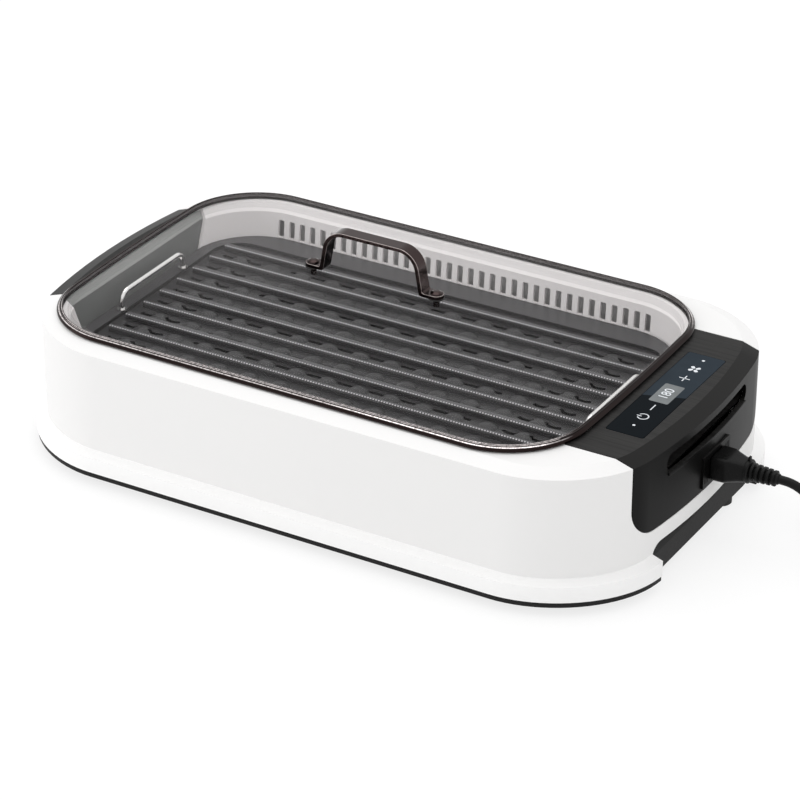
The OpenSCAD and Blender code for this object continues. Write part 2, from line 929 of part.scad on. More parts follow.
module terminal_blades() {
    color("silver")
    for (s = [-1, 1])
        translate([terminal_x - 3, s * blade_spacing / 2 - 0.8, socket_top - 9])
            cube([6, 1.6, block_low - socket_top + 9]);
}

support_pitch = 130;
module element_supports() {
    rail = 7;
    z = tube_z - tube_diameter / 2 - 2;
    reach = HOLE[1] + tray_ledge;
    color("silver")
    for (x = [for (k = [-1:1]) tray_x + k * support_pitch]) {
        translate([x - rail / 2, -reach, z])
            cube([rail, 2 * reach, 2]);
        for (s = [-1, 1])
            translate([x - rail / 2, s > 0 ? reach - 4 : -reach, tray_z + 2 + 2 * SEAT_GAP])
                cube([rail, 4, z - tray_z - 2 - 2 * SEAT_GAP]);
    }
}

// Grill plate
plate_clear = 1.2;
PLATE = grown(OPENING, -wall_draft - plate_clear);
FIELD = [PLATE[0] - 11, 4.6 * rib_pitch, 26, 0];
rib_side = 4;
rib_half = PLATE[0] - 17.5;
plate_drop = 2;

module rib(top_width) {
    along_x(-rib_half, rib_half)
        polygon([
            [-rib_foot / 2, -0.5], [rib_foot / 2, -0.5],
            [top_width / 2 + 0.3, rib_height - 0.7], [top_width / 2 - 0.5, rib_height],
            [-top_width / 2 + 0.5, rib_height], [-top_width / 2 - 0.3, rib_height - 0.7]
        ]);
}

// Along a channel: evenly spaced slots, then a short one and two curved ones towards each end
slots_x = -6.5;
short_slot_from_last = 23.4;
CURVED_FROM_LAST = [61.2, 84.5];
curve_radius = 12;
curve_angle = 66;
slot_end_room = CURVED_FROM_LAST[1] - slots_x + 8;
slot_count = floor(2 * (FIELD[0] - slot_end_room) / slot_pitch) + 1;
last_slot = (slot_count - 1) / 2 * slot_pitch;
BROAD_RIBS = [for (k = [-rib_side:rib_side]) if (k % 2 == 0) k * rib_pitch];
CHANNELS = [for (k = [-rib_side:rib_side - 1]) (k + 0.5) * rib_pitch];

module drip_slot(length) {
    linear_extrude(20, center = true)
        rounded(length, slot_width, slot_width / 2 - 0.01);
}

module curved_slot() {
    translate([0, curve_radius, 0])
        rotate([0, 0, 270 - curve_angle / 2])
            rotate_extrude(angle = curve_angle)
                translate([curve_radius - slot_width / 2, -10])
                    square([slot_width, 20]);
}

module hump() {
    r = (pow(hump_radius, 2) + pow(hump_height, 2)) / (2 * hump_height);
    edge = asin(hump_radius / r);
    rotate_extrude()
        polygon([
            [0, -1], [hump_radius, -1],
            for (i = [5:-1:0]) r * [sin(i / 5 * edge), cos(i / 5 * edge)] + [0, hump_height - r]
        ]);
}

module drip_slots() {
    for (y = BROAD_RIBS)
        for (s = [-1, 1]) {
            for (i = [0:slot_count - 1])
                translate([i * slot_pitch - last_slot, y + s * slot_from_rib, 0])
                    drip_slot(slot_length);
            for (e = [-1, 1])
                translate([e * (last_slot + short_slot_from_last), y + s * slot_from_rib, 0])
                    drip_slot(slot_length / 2);
        }
    for (y = CHANNELS)
        for (e = [-1, 1])
            for (d = CURVED_FROM_LAST)
                translate([e * (last_slot + d), y, 0])
                    curved_slot();
}

module humps() {
    beside = (CURVED_FROM_LAST[0] + short_slot_from_last) / 2;
    between = (CURVED_FROM_LAST[0] + CURVED_FROM_LAST[1]) / 2;
    for (y = CHANNELS) {
        for (i = [0:slot_count - 2])
            translate([(i + 0.5) * slot_pitch - last_slot, y, 0])
                hump();
        for (e = [-1, 1])
            for (d = [slot_pitch / 2, beside, between])
                translate([e * (last_slot + d), y, 0])
                    hump();
    }
}

module grill_plate() {
    color([0.26, 0.26, 0.27])
    translate([lid_x, 0, channel_z])
        difference() {
            union() {
                difference() {
                    union() {
                        block(PLATE, plate_z - channel_z, margin_z - channel_z);
                        block(grown(FIELD, plate_drop), plate_low - channel_z, 0);
                    }
                    block(FIELD, 0, 10);
                }
                for (k = [-rib_side:rib_side])
                    translate([0, k * rib_pitch, 0])
                        rib(k % 2 == 0 ? broad_rib_top : narrow_rib_top);
                translate([slots_x, 0, 0])
                    humps();
            }
            translate([slots_x, 0, 0])
                drip_slots();
        }
}

// Upright wire handles at the plate's ends
bail_corner = 9;
module plate_handle() {
    x = PLATE[0] - 9;
    top = margin_z + bail_height - bail_wire / 2;
    half = bail_width / 2 - bail_wire / 2;
    color("gainsboro")
    translate([lid_x + x, 0, 0]) {
        for (s = [-1, 1]) {
            translate([0, s * half, margin_z + 0.1])
                cylinder(d = bail_wire, h = top - bail_corner - margin_z - 0.1);
            translate([0, s * half, margin_z + 0.1])
                cylinder(d = bail_wire + 4, h = 1.4);
            translate([0, s * (half - bail_corner), top - bail_corner])
                rotate([0, -90, 0])
                    rotate([0, 0, s > 0 ? 0 : -90])
                        rotate_extrude(angle = 90)
                            translate([bail_corner, 0])
                                circle(d = bail_wire);
        }
        translate([0, -half + bail_corner, top])
            rotate([-90, 0, 0])
                cylinder(d = bail_wire, h = 2 * (half - bail_corner));
    }
}

module right_plate_handle() {
    plate_handle();
}

module left_plate_handle() {
    translate([2 * lid_x, 0, 0])
        mirror([1, 0, 0])
            plate_handle();
}

// Lid
rim_lip = 3;
glass_inset = rim_lip;
GLASS = grown(LID, -glass_inset);
DOME = grown(GLASS, -5.5);
dome_steps = 7;
// Size of the hollow under the dome as a share of the dome
HOLLOW = 0.95;

// Outline of the dome at share u of its size: the lid's outline drawn towards an ellipse
function dome_ring(u) = [
    for (q = outline(DOME))
        let (a = atan2(q[1] / DOME[1], q[0] / DOME[0]))
        let (round_x = DOME[0] * cos(a), round_y = DOME[1] * sin(a))
        let (w = pow(u, 3))
        [
            u * (w * q[0] + (1 - w) * round_x),
            u * (w * q[1] + (1 - w) * round_y)
        ]
];
function dome_z(u) = glass_rise * (1 - u * u);
DOME_SHARES = [for (k = [0:dome_steps]) max(0.02, 1 - k / dome_steps)];

module dome(z) {
    skin(concat(
        [[z - 0.01, dome_ring(1)]],
        [for (u = DOME_SHARES) [z + dome_z(u), dome_ring(u)]]
    ));
}

module lid_glass() {
    color([0.5, 0.48, 0.48, 0.5])
    translate([lid_x, 0, 0])
        difference() {
            union() {
                dome(glass_edge_z + glass_thickness);
                block(GLASS, glass_edge_z, glass_edge_z + glass_thickness);
            }
            skin(concat(
                [[glass_edge_z - PASS, dome_ring(HOLLOW)]],
                [for (u = DOME_SHARES) [glass_edge_z + dome_z(u), dome_ring(HOLLOW * u)]]
            ));
            for (s = [-1, 1])
                translate([s * handle_span / 2, 0, glass_edge_z])
                    cylinder(r = 3.2, h = glass_rise + 20);
        }
}

module lid_rim() {
    h = rim_height;
    g = (rim_height - glass_thickness) / 2;
    d = rim_lip - seam / 2;
    color([0.3, 0.24, 0.23])
    translate([lid_x, 0, lid_z])
        ring(LID, [
            [-rim_width, 0], [-1.2, 0], [-0.3, 0.9], [0, h / 2], [-0.4, h - 1.4], [-1.6, h - 0.3],
            [-3.2, h], [-rim_width + 1.5, h - 0.2], [-rim_width, g + glass_thickness + 0.1],
            [-d, g + glass_thickness + 0.1], [-d, g - 0.1], [-rim_width, g - 0.1]
        ]);
}

gasket_clear = 1.4;
lip_depth = 7;
module lid_gasket() {
    t = 2.4;
    out = grown(OPENING, -gasket_clear);
    color([0.62, 0.6, 0.6])
    translate([lid_x, 0, 0])
        ring(out, [
            [0, housing_top - lip_depth], [0, glass_edge_z - 0.1],
            [-t, glass_edge_z - 0.1], [-t, housing_top - lip_depth]
        ]);
}

// Handle: one bent strip with its feet turned out
module handle_outline(g) {
    post = handle_span / 2 - 9;
    r = 15;
    top = handle_height + g;
    half = post + g;
    polygon(concat(
        [[-half, 0], [half, 0]],
        [for (a = [0:10:90]) [half - r - g + (r + g) * cos(a), top - r - g + (r + g) * sin(a)]],
        [for (a = [90:10:180]) [-half + r + g + (r + g) * cos(a), top - r - g + (r + g) * sin(a)]]
    ));
}

washer_height = 1.2;
handle_foot_z = glass_top_z - glass_rise * pow(handle_span / 2 / GLASS[0], 2) + washer_height;
foot_end = handle_span / 2;
module lid_handle() {
    t = handle_thickness;
    color([0.32, 0.25, 0.24])
    translate([lid_x, 0, handle_foot_z])
        difference() {
            union() {
                rotate([90, 0, 0])
                    linear_extrude(handle_width, center = true)
                        difference() {
                            handle_outline(0);
                            translate([0, -0.01])
                                handle_outline(-t);
                        }
                for (s = [-1, 1]) {
                    translate([s > 0 ? foot_end - 12 : -foot_end, -handle_width / 2, 0])
                        cube([12, handle_width, t]);
                    translate([s * foot_end, 0, 0])
                        cylinder(d = handle_width, h = t);
                }
            }
            for (s = [-1, 1])
                translate([s * foot_end, 0, -PASS])
                    cylinder(r = 2.7, h = t + 2 * PASS);
        }
}

module handle_screws() {
    low = handle_foot_z - washer_height - glass_thickness - 3;
    color([0.5, 0.42, 0.4])
    for (s = [-1, 1])
        translate([lid_x + s * foot_end, 0, 0])
            rotate_extrude()
                polygon([
                    [0, low], [2.4, low], [2.4, handle_foot_z + handle_thickness],
                    [4.6, handle_foot_z + handle_thickness],
                    [4.4, handle_foot_z + handle_thickness + 1.1],
                    [2.6, handle_foot_z + handle_thickness + 2.1],
                    [0, handle_foot_z + handle_thickness + 2.3]
                ]);
}

module handle_washers() {
    color([0.1, 0.1, 0.1])
    for (s = [-1, 1])
        translate([lid_x + s * foot_end, 0, handle_foot_z - washer_height + 0.35])
            difference() {
                cylinder(r = handle_width / 2 + 0.6, h = washer_height - 0.35);
                translate([0, 0, -PASS])
                    cylinder(r = 2.8, h = washer_height + 2 * PASS);
            }
}

// Power connector: nose in the inlet, tapered body, ribbed strain relief
connector_face_x = inlet_face_x + seam;
relief_x = connector_face_x + connector_length;
lead_x = relief_x + relief_length;
nose_clear = 0.6;
module power_connector() {
    color([0.12, 0.12, 0.12])
    difference() {
        union() {
            along_x(inlet_back_x + 1, connector_face_x + PASS)
                translate([inlet_y, inlet_z])
                    rounded(inlet_width - 2 * nose_clear, inlet_height - 2 * nose_clear, 2);
            hull() {
                along_x(connector_face_x, connector_face_x + 9)
                    translate([inlet_y, inlet_z])
                        rounded(26, 20, 5, $fn = 32);
                along_x(relief_x - 2, relief_x)
                    translate([inlet_y, inlet_z])
                        rounded(17, 15, 5, $fn = 32);
            }
        }
        for (s = [-1, 1])
            bar_x(inlet_back_x - 1, inlet_face_x - 4, inlet_y + s * pin_spacing / 2, inlet_z,
                pin_diameter + 0.6);
    }
}

relief_ribs = 5;
module strain_relief() {
    pitch = relief_length / (relief_ribs + 0.3);
    core = lead_diameter / 2 + 1.1;
    color([0.1, 0.1, 0.1])
    translate([relief_x, inlet_y, inlet_z])
        rotate([0, 90, 0])
            union() {
                cylinder(r1 = core + 1.2, r2 = core, h = relief_length);
                for (k = [0:relief_ribs - 1])
                    translate([0, 0, 0.6 + k * pitch])
                        cylinder(r = core + 3.4 - 0.35 * k, h = pitch * 0.55);
            }
}

// Free lead: route chosen by hand, from the strain relief to the coil
LEAD_ROUTE = [
    [323.2, 8, 63], [333, 8, 62.4], [343, 8, 58.5], [353, 8, 51], [363, 8.5, 40.5],
    [371, 9, 29], [380, 10.5, 18.5], [390, 14, 10.5], [400, 19.5, 5.5], [409, 27, 3.7],
    [416, 37, 3.5], [419.4, 48, 3.5], [420, 58, 3.5], [420, 66, 3.5]
];
TAIL_ROUTE = [[420, 80, 11], [420, 90, 10.2], [420, 101, 7.8], [420, 112, 6]];

// A tube swept along points: sides and ring turning with the route
function unit(v) = v / norm(v);
function heading(path, k) = unit(
    path[min(k + 1, len(path) - 1)] - path[max(k - 1, 0)]
);
function side_of(h) = unit(cross([0, 0, 1], h));
function tube_rings(path, radius, sides) = [
    for (k = [0:len(path) - 1])
        let (h = heading(path, k), s = side_of(h), u = cross(h, s))
        for (j = [0:sides - 1])
            path[k] + radius * (cos(360 * j / sides) * s + sin(360 * j / sides) * u)
];
module swept_tube(path, radius, sides) {
    n = sides;
    m = len(path);
    polyhedron(
        tube_rings(path, radius, sides),
        concat(
            [[for (j = [0:n - 1]) j]],
            [for (i = [0:m - 2]) for (j = [0:n - 1]) for (f = [0, 1])
                f == 0
                    ? [i * n + j, (i + 1) * n + j, (i + 1) * n + (j + 1) % n]
                    : [i * n + j, (i + 1) * n + (j + 1) % n, i * n + (j + 1) % n]],
            [[for (j = [n - 1:-1:0]) (m - 1) * n + j]]
        )
    );
}

module power_lead() {
    color([0.12, 0.12, 0.12])
    swept_tube(LEAD_ROUTE, lead_diameter / 2, 10);
}

// Coil of the put-away length: in on the lower layer, up a layer in half a turn, out on the upper
COIL_MIDDLE = [373.6, 73];
coil_inner = 31;
coil_step = 8.8;
coil_turns = 1.75;
coil_rise = 7.5;
coil_rings = 24;
coil_outer = coil_inner + coil_step * coil_turns;
function coil_radius(t) =
    t < coil_turns ? coil_outer - coil_step * t
    : t < coil_turns + 0.5 ? coil_inner
    : coil_inner + coil_step * (t - coil_turns - 0.5);
function coil_height(t) =
    lead_diameter / 2 + coil_rise * min(1, max(0, (t - coil_turns) / 0.5));
function coil_point(t) = [
    COIL_MIDDLE[0] + coil_radius(t) * cos(360 * t),
    COIL_MIDDLE[1] + coil_radius(t) * sin(360 * t),
    coil_height(t)
];
coil_total = 2 * coil_turns + 0.5;
COIL_PATH = concat(
    [coil_point(0) - [0, lead_diameter, 0]],
    [for (k = [0:coil_total * coil_rings]) coil_point(k / coil_rings)],
    [coil_point(coil_total) + [0, lead_diameter, 0]]
);

// Least gap of the coil to itself, between points more than half a turn apart
function coil_gap() = min([
    for (i = [0:len(COIL_PATH) - 1])
        for (j = [i + coil_rings / 2:len(COIL_PATH) - 1])
            norm(COIL_PATH[i] - COIL_PATH[j])
]) - lead_diameter;
echo(coil_gap = coil_gap());

module lead_coil() {
    color([0.12, 0.12, 0.12])
    swept_tube(COIL_PATH, lead_diameter / 2, 6);
}

module lead_tail() {
    color([0.12, 0.12, 0.12])
    swept_tube(TAIL_ROUTE, lead_diameter / 2, 8);
}

// Wall plug, lying on its side beside the coil
plug_length = 36;
plug_height = 12;
blade_gap = 12.7;
plug_body = plug_length * 0.6;
module plug_slice(w, h, t) {
    rotate([-90, 0, 0])
        linear_extrude(t)
            rounded(w, h, 3, $fn = 32);
}

module wall_plug() {
    end = TAIL_ROUTE[len(TAIL_ROUTE) - 1];
    color([0.12, 0.12, 0.12])
    translate([end[0], end[1], plug_height / 2]) {
        translate([0, plug_length - plug_body, 0])
            plug_slice(26, plug_height, plug_body);
        hull() {
            plug_slice(11, 10, 1);
            translate([0, plug_length - plug_body, 0])
                plug_slice(26, plug_height, 1);
        }
    }
}

module plug_blades() {
    end = TAIL_ROUTE[len(TAIL_ROUTE) - 1];
    color("silver")
    for (s = [-1, 1])
        translate([end[0] + s * blade_gap / 2 - 0.75, end[1] + plug_length, 2.8])
            cube([1.5, 18, 6.4]);
}

base_pan();
rubber_feet();
housing();
inner_liner();
right_end_cap();
left_end_cap();
touch_glass();
display_module();
control_board();
power_board();
power_inlet();
inlet_pins();
element_socket();
thermostat_probe();
fan_motor();
fan_scroll();
wiring_harness();
base_screws();
liner_screws();
fan_rotor();
fan_shaft();
drip_tray();
heating_tube();
terminal_block();
terminal_blades();
element_supports();
grill_plate();
left_plate_handle();
right_plate_handle();
lid_glass();
lid_rim();
lid_gasket();
lid_handle();
handle_screws();
handle_washers();
power_connector();
strain_relief();
power_lead();
lead_coil();
lead_tail();
wall_plug();
plug_blades();
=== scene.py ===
"""Looks of an electric indoor grill with a lift-off glass lid, built around its CAD frame.

Lengths are in metres in the frame's axes: X along the grill, -Y to the front and Z up.
"""

from __future__ import annotations

import logging
import math
from collections.abc import Callable, Iterable, Sequence
from dataclasses import dataclass, field
from enum import Enum

import bmesh
import bpy
from mathutils import Matrix, Vector

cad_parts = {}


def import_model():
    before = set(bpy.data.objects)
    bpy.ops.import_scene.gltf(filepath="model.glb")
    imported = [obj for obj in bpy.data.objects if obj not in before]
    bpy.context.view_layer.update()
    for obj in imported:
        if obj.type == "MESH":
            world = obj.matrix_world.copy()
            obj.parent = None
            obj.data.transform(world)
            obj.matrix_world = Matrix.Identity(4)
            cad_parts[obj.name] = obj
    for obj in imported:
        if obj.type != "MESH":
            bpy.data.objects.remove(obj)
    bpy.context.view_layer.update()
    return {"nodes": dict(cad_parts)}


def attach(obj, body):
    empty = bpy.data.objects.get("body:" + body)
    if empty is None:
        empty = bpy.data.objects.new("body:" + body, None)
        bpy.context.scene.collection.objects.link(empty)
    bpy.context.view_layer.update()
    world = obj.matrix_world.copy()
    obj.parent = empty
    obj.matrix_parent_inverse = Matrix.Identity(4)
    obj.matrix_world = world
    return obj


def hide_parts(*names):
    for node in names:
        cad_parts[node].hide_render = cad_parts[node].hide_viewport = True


log = logging.getLogger("grill")

MM = 0.001
Pair = tuple[float, float]
Colour = tuple[float, float, float]
Point = tuple[float, float, float]
BMesh = bmesh.types.BMesh
Object = bpy.types.Object
Socket = bpy.types.NodeSocket


class Axis(Enum):
    """Direction that a drawn shape is pushed out along."""

    X = "x"
    Y = "y"
    Z = "z"

    def frame(self) -> Matrix:
        """Return the turn that takes a drawing in X and Y onto this axis."""
        turns = {
            Axis.X: Matrix(((0, 0, 1, 0), (1, 0, 0, 0), (0, 1, 0, 0), (0, 0, 0, 1))),
            Axis.Y: Matrix(((1, 0, 0, 0), (0, 0, 1, 0), (0, 1, 0, 0), (0, 0, 0, 1))),
            Axis.Z: Matrix.Identity(4),
        }
        return turns[self]


class Cut(Enum):
    """How one solid meets another."""

    TAKE_AWAY = "DIFFERENCE"
    KEEP_COMMON = "INTERSECT"
    JOIN = "UNION"


class End(Enum):
    """An end of the grill, as the sign of X."""

    RIGHT = 1
    LEFT = -1


# Shapes


@dataclass(frozen=True)
class Plan:
    """A rounded plan outline whose two ends may bulge outwards."""

    half_length: float
    half_width: float
    radius: float
    bulge: float = 0.0
    centre: float = 0.0
    corner_steps: int = 20
    side_steps: int = 9

    def grown(self, gap: float) -> Plan:
        """Return the outline moved outwards by a gap all round."""
        return Plan(
            self.half_length + gap, self.half_width + gap, self.radius + gap,
            self.bulge, self.centre, self.corner_steps, self.side_steps,
        )

    def ring(self, height: float) -> BMesh:
        """Return the outline at a height, as a loop of edges in a mesh of its own."""
        part = bmesh.new()
        inner = self.half_length - self.bulge
        corners = [
            part.verts.new((sx * inner, sy * self.half_width, height))
            for sx, sy in ((1, 1), (-1, 1), (-1, -1), (1, -1))
        ]
        part.faces.new(corners)
        bmesh.ops.bevel(
            part, geom=corners, offset=self.radius, affect="VERTICES",
            segments=self.corner_steps, profile=0.5, material=-1,
        )
        straight = [
            e for e in part.edges
            if min(abs(a - b) for a, b in zip(e.verts[0].co.xy, e.verts[1].co.xy)) < 1e-7
        ]
        bmesh.ops.subdivide_edges(part, edges=straight, cuts=self.side_steps)
        bmesh.ops.delete(part, geom=list(part.faces), context="FACES_ONLY")
        for vert in part.verts:
            share = 1 - (vert.co.y / self.half_width) ** 2
            vert.co.x += math.copysign(self.bulge * share, vert.co.x) + self.centre
        return part

    def points(self, height: float) -> list[Vector]:
        """Return the outline's points at a height, in the order that every outline has."""
        part = self.ring(height)
        found = [vert.co.copy() for vert in part.verts]
        part.free()
        return found


def skin(mesh: BMesh, base: Plan, rows: Sequence[Sequence[Vector]],
         closed: bool = False) -> None:
    """Draw a skin through rows of points by extruding one loop from row to row.

    Args:
        mesh: Mesh that takes the skin.
        base: Outline that gives the loop.
        rows: Points of each row, in the outline's order.
        closed: Whether the last row joins the first, instead of both being filled.
    """
    part = base.ring(0.0)
    order = {vert: k for k, vert in enumerate(part.verts)}
    loop = list(part.edges)
    for vert, k in order.items():
        vert.co = rows[0][k]
    if not closed:
        bmesh.ops.edgeloop_fill(part, edges=loop)
    for row in [*rows[1:], *([rows[0]] if closed else [])]:
        made = bmesh.ops.extrude_edge_only(part, edges=loop)["geom"]
        fresh = {}
        for vert in (v for v in made if isinstance(v, bmesh.types.BMVert)):
            below = next(
                o for o in (e.other_vert(vert) for e in vert.link_edges) if o in order
            )
            fresh[vert] = order[below]
            vert.co = row[order[below]]
        loop = [e for e in made if isinstance(e, bmesh.types.BMEdge)
                and all(v in fresh for v in e.verts)]
        order = fresh
    if closed:
        bmesh.ops.remove_doubles(part, verts=part.verts, dist=1e-7)
    else:
        bmesh.ops.edgeloop_fill(part, edges=loop)
    face_out(part)
    pour(part, mesh)


def face_out(mesh: BMesh) -> None:
    """Turn the faces of a closed solid outwards."""
    bmesh.ops.recalc_face_normals(mesh, faces=mesh.faces)
    if mesh.calc_volume(signed=True) < 0:
        bmesh.ops.reverse_faces(mesh, faces=mesh.faces)


def prism(
    mesh: BMesh, points: Sequence[Point],
    low: float, high: float, axis: Axis, steps: int = 8,
) -> None:
    """Push a flat outline out along an axis.

    Args:
        mesh: Mesh that takes the prism.
        points: Across, up and corner radius of each corner of the outline.
        low: Start along the axis.
        high: End along the axis.
        axis: Direction of the prism.
        steps: Steps on each rounded corner.
    """
    part = bmesh.new()
    verts = [part.verts.new((x, y, low)) for x, y, _ in points]
    part.faces.new(verts)
    for vert, (_, _, radius) in zip(list(verts), points):
        if radius > 0:
            bmesh.ops.bevel(
                part, geom=[vert], offset=radius, affect="VERTICES",
                segments=steps, profile=0.5, material=-1,
            )
    grown = bmesh.ops.extrude_face_region(part, geom=list(part.faces))
    top = [v for v in grown["geom"] if isinstance(v, bmesh.types.BMVert)]
    bmesh.ops.translate(part, verts=top, vec=(0, 0, high - low))
    bmesh.ops.transform(part, matrix=axis.frame(), verts=part.verts)
    face_out(part)
    pour(part, mesh)


def rounded(
    width: float, height: float, radius: float, middle: Pair = (0.0, 0.0)
) -> list[Point]:
    """Return the corners of a rounded rectangle round its middle, for a prism."""
    return [
        (middle[0] + sx * width / 2, middle[1] + sy * height / 2, radius)
        for sx, sy in ((1, 1), (-1, 1), (-1, -1), (1, -1))
    ]


def disc(mesh: BMesh, centre: Point, radius: float, height: float, steps: int = 40) -> None:
    """Add an upright round piece that stands on its centre point.

    Args:
        mesh: Mesh that takes the piece.
        centre: Middle of its foot.
        radius: Radius of the piece.
        height: Height above the foot.
        steps: Sides of the circle.
    """
    bmesh.ops.create_cone(
        mesh, cap_ends=True, segments=steps, radius1=radius, radius2=radius, depth=height,
        matrix=Matrix.Translation((centre[0], centre[1], centre[2] + height / 2)),
    )


def pour(part: BMesh, mesh: BMesh) -> None:
    """Move everything of one bmesh into another and free the first."""
    holder = bpy.data.meshes.new("pour")
    part.to_mesh(holder)
    part.free()
    mesh.from_mesh(holder)
    bpy.data.meshes.remove(holder)


def link(obj: Object) -> None:
    """Put an object in the scene."""
    bpy.context.scene.collection.objects.link(obj)


def piece(name: str, build: Callable[[BMesh], None]) -> Object:
    """Make an object whose mesh a builder fills in place.

    Args:
        name: Name of the object.
        build: Function that draws into the mesh.

    Returns:
        The object, at the origin.
    """
    mesh = bmesh.new()
    build(mesh)
    data = bpy.data.meshes.new(name)
    mesh.to_mesh(data)
    mesh.free()
    obj = bpy.data.objects.new(name, data)
    link(obj)
    return obj


def ring(name: str, steps: Sequence[tuple[float, Plan]]) -> Object:
    """Make a ring whose closed section runs through a list of outlines.

    Args:
        name: Name of the object.
        steps: Height and outline of each corner of the section.

    Returns:
        The ring.
    """
    rows = [plan.points(height) for height, plan in steps]
    return piece(name, lambda mesh: skin(mesh, steps[0][1], rows, closed=True))


def band(name: str, low: float, high: float, outer: Plan, thick: float) -> Object:
    """Make a ring of a rectangular section inside an outline.

    Args:
        name: Name of the object.
        low: Height of its foot.
        high: Height of its top.
        outer: Outline of its outside.
        thick: Width of the section.

    Returns:
        The ring.
    """
    inner = outer.grown(-thick)
    return ring(name, [(low, outer), (high, outer), (high, inner), (low, inner)])


def block(name: str, points: Sequence[Point], ends: Iterable[float], axis: Axis,
          steps: int = 8) -> Object:
    """Make a piece that is one prism.

    Args:
        name: Name of the object.
        points: Across, up and corner radius of each corner of the outline.
        ends: Start and end along the axis.
        axis: Direction of the prism.
        steps: Steps on each rounded corner.

    Returns:
        The piece.
    """
    low, high = ends
    return piece(name, lambda mesh: prism(mesh, points, low, high, axis, steps))


def settle(obj: Object) -> None:
    """Apply an object's modifiers to its mesh."""
    graph = bpy.context.evaluated_depsgraph_get()
    graph.update()
    old = obj.data
    obj.data = bpy.data.meshes.new_from_object(obj.evaluated_get(graph))
    obj.modifiers.clear()
    obj.data.name = obj.name
    bpy.data.meshes.remove(old)


def soften(obj: Object, width: float, steps: int = 3, angle: float = 25.0,
           edge: Finish | None = None) -> None:
    """Round the edges that turn by more than an angle.

    Args:
        obj: Piece to round.
        width: Width of the rounding.
        steps: Steps of the rounding.
        angle: Least turn in degrees.
        edge: Finish of the rounded edges, such as a painted highlight, or None for that of the
            piece.
    """
    if edge:
        for _ in range(2):
            obj.data.materials.append(edge.material())
    bevel = obj.modifiers.new("edges", "BEVEL")
    bevel.width = width
    bevel.segments = steps
    bevel.limit_method = "ANGLE"
    bevel.angle_limit = math.radians(angle)
    bevel.material = 1 if edge else -1
    settle(obj)


def combine(obj: Object, tool: Object, how: Cut) -> None:
    """Cut or join a piece with another one, which is used up.

    Args:
        obj: Piece that stays.
        tool: Piece that is used up.
        how: Way that the two meet.
    """
    boolean = obj.modifiers.new(how.value, "BOOLEAN")
    boolean.object = tool
    boolean.operation = how.value
    boolean.solver = "EXACT"
    settle(obj)
    data = tool.data
    bpy.data.objects.remove(tool)
    bpy.data.meshes.remove(data)


def smooth(obj: Object, angle: float = 32.0) -> None:
    """Shade an object smooth and keep edges that turn by more than an angle sharp."""
    obj.data.shade_smooth()
    obj.data.set_sharp_from_angle(angle=math.radians(angle))
    weighted = obj.modifiers.new("normals", "WEIGHTED_NORMAL")
    weighted.keep_sharp = True
    settle(obj)


# Finishes


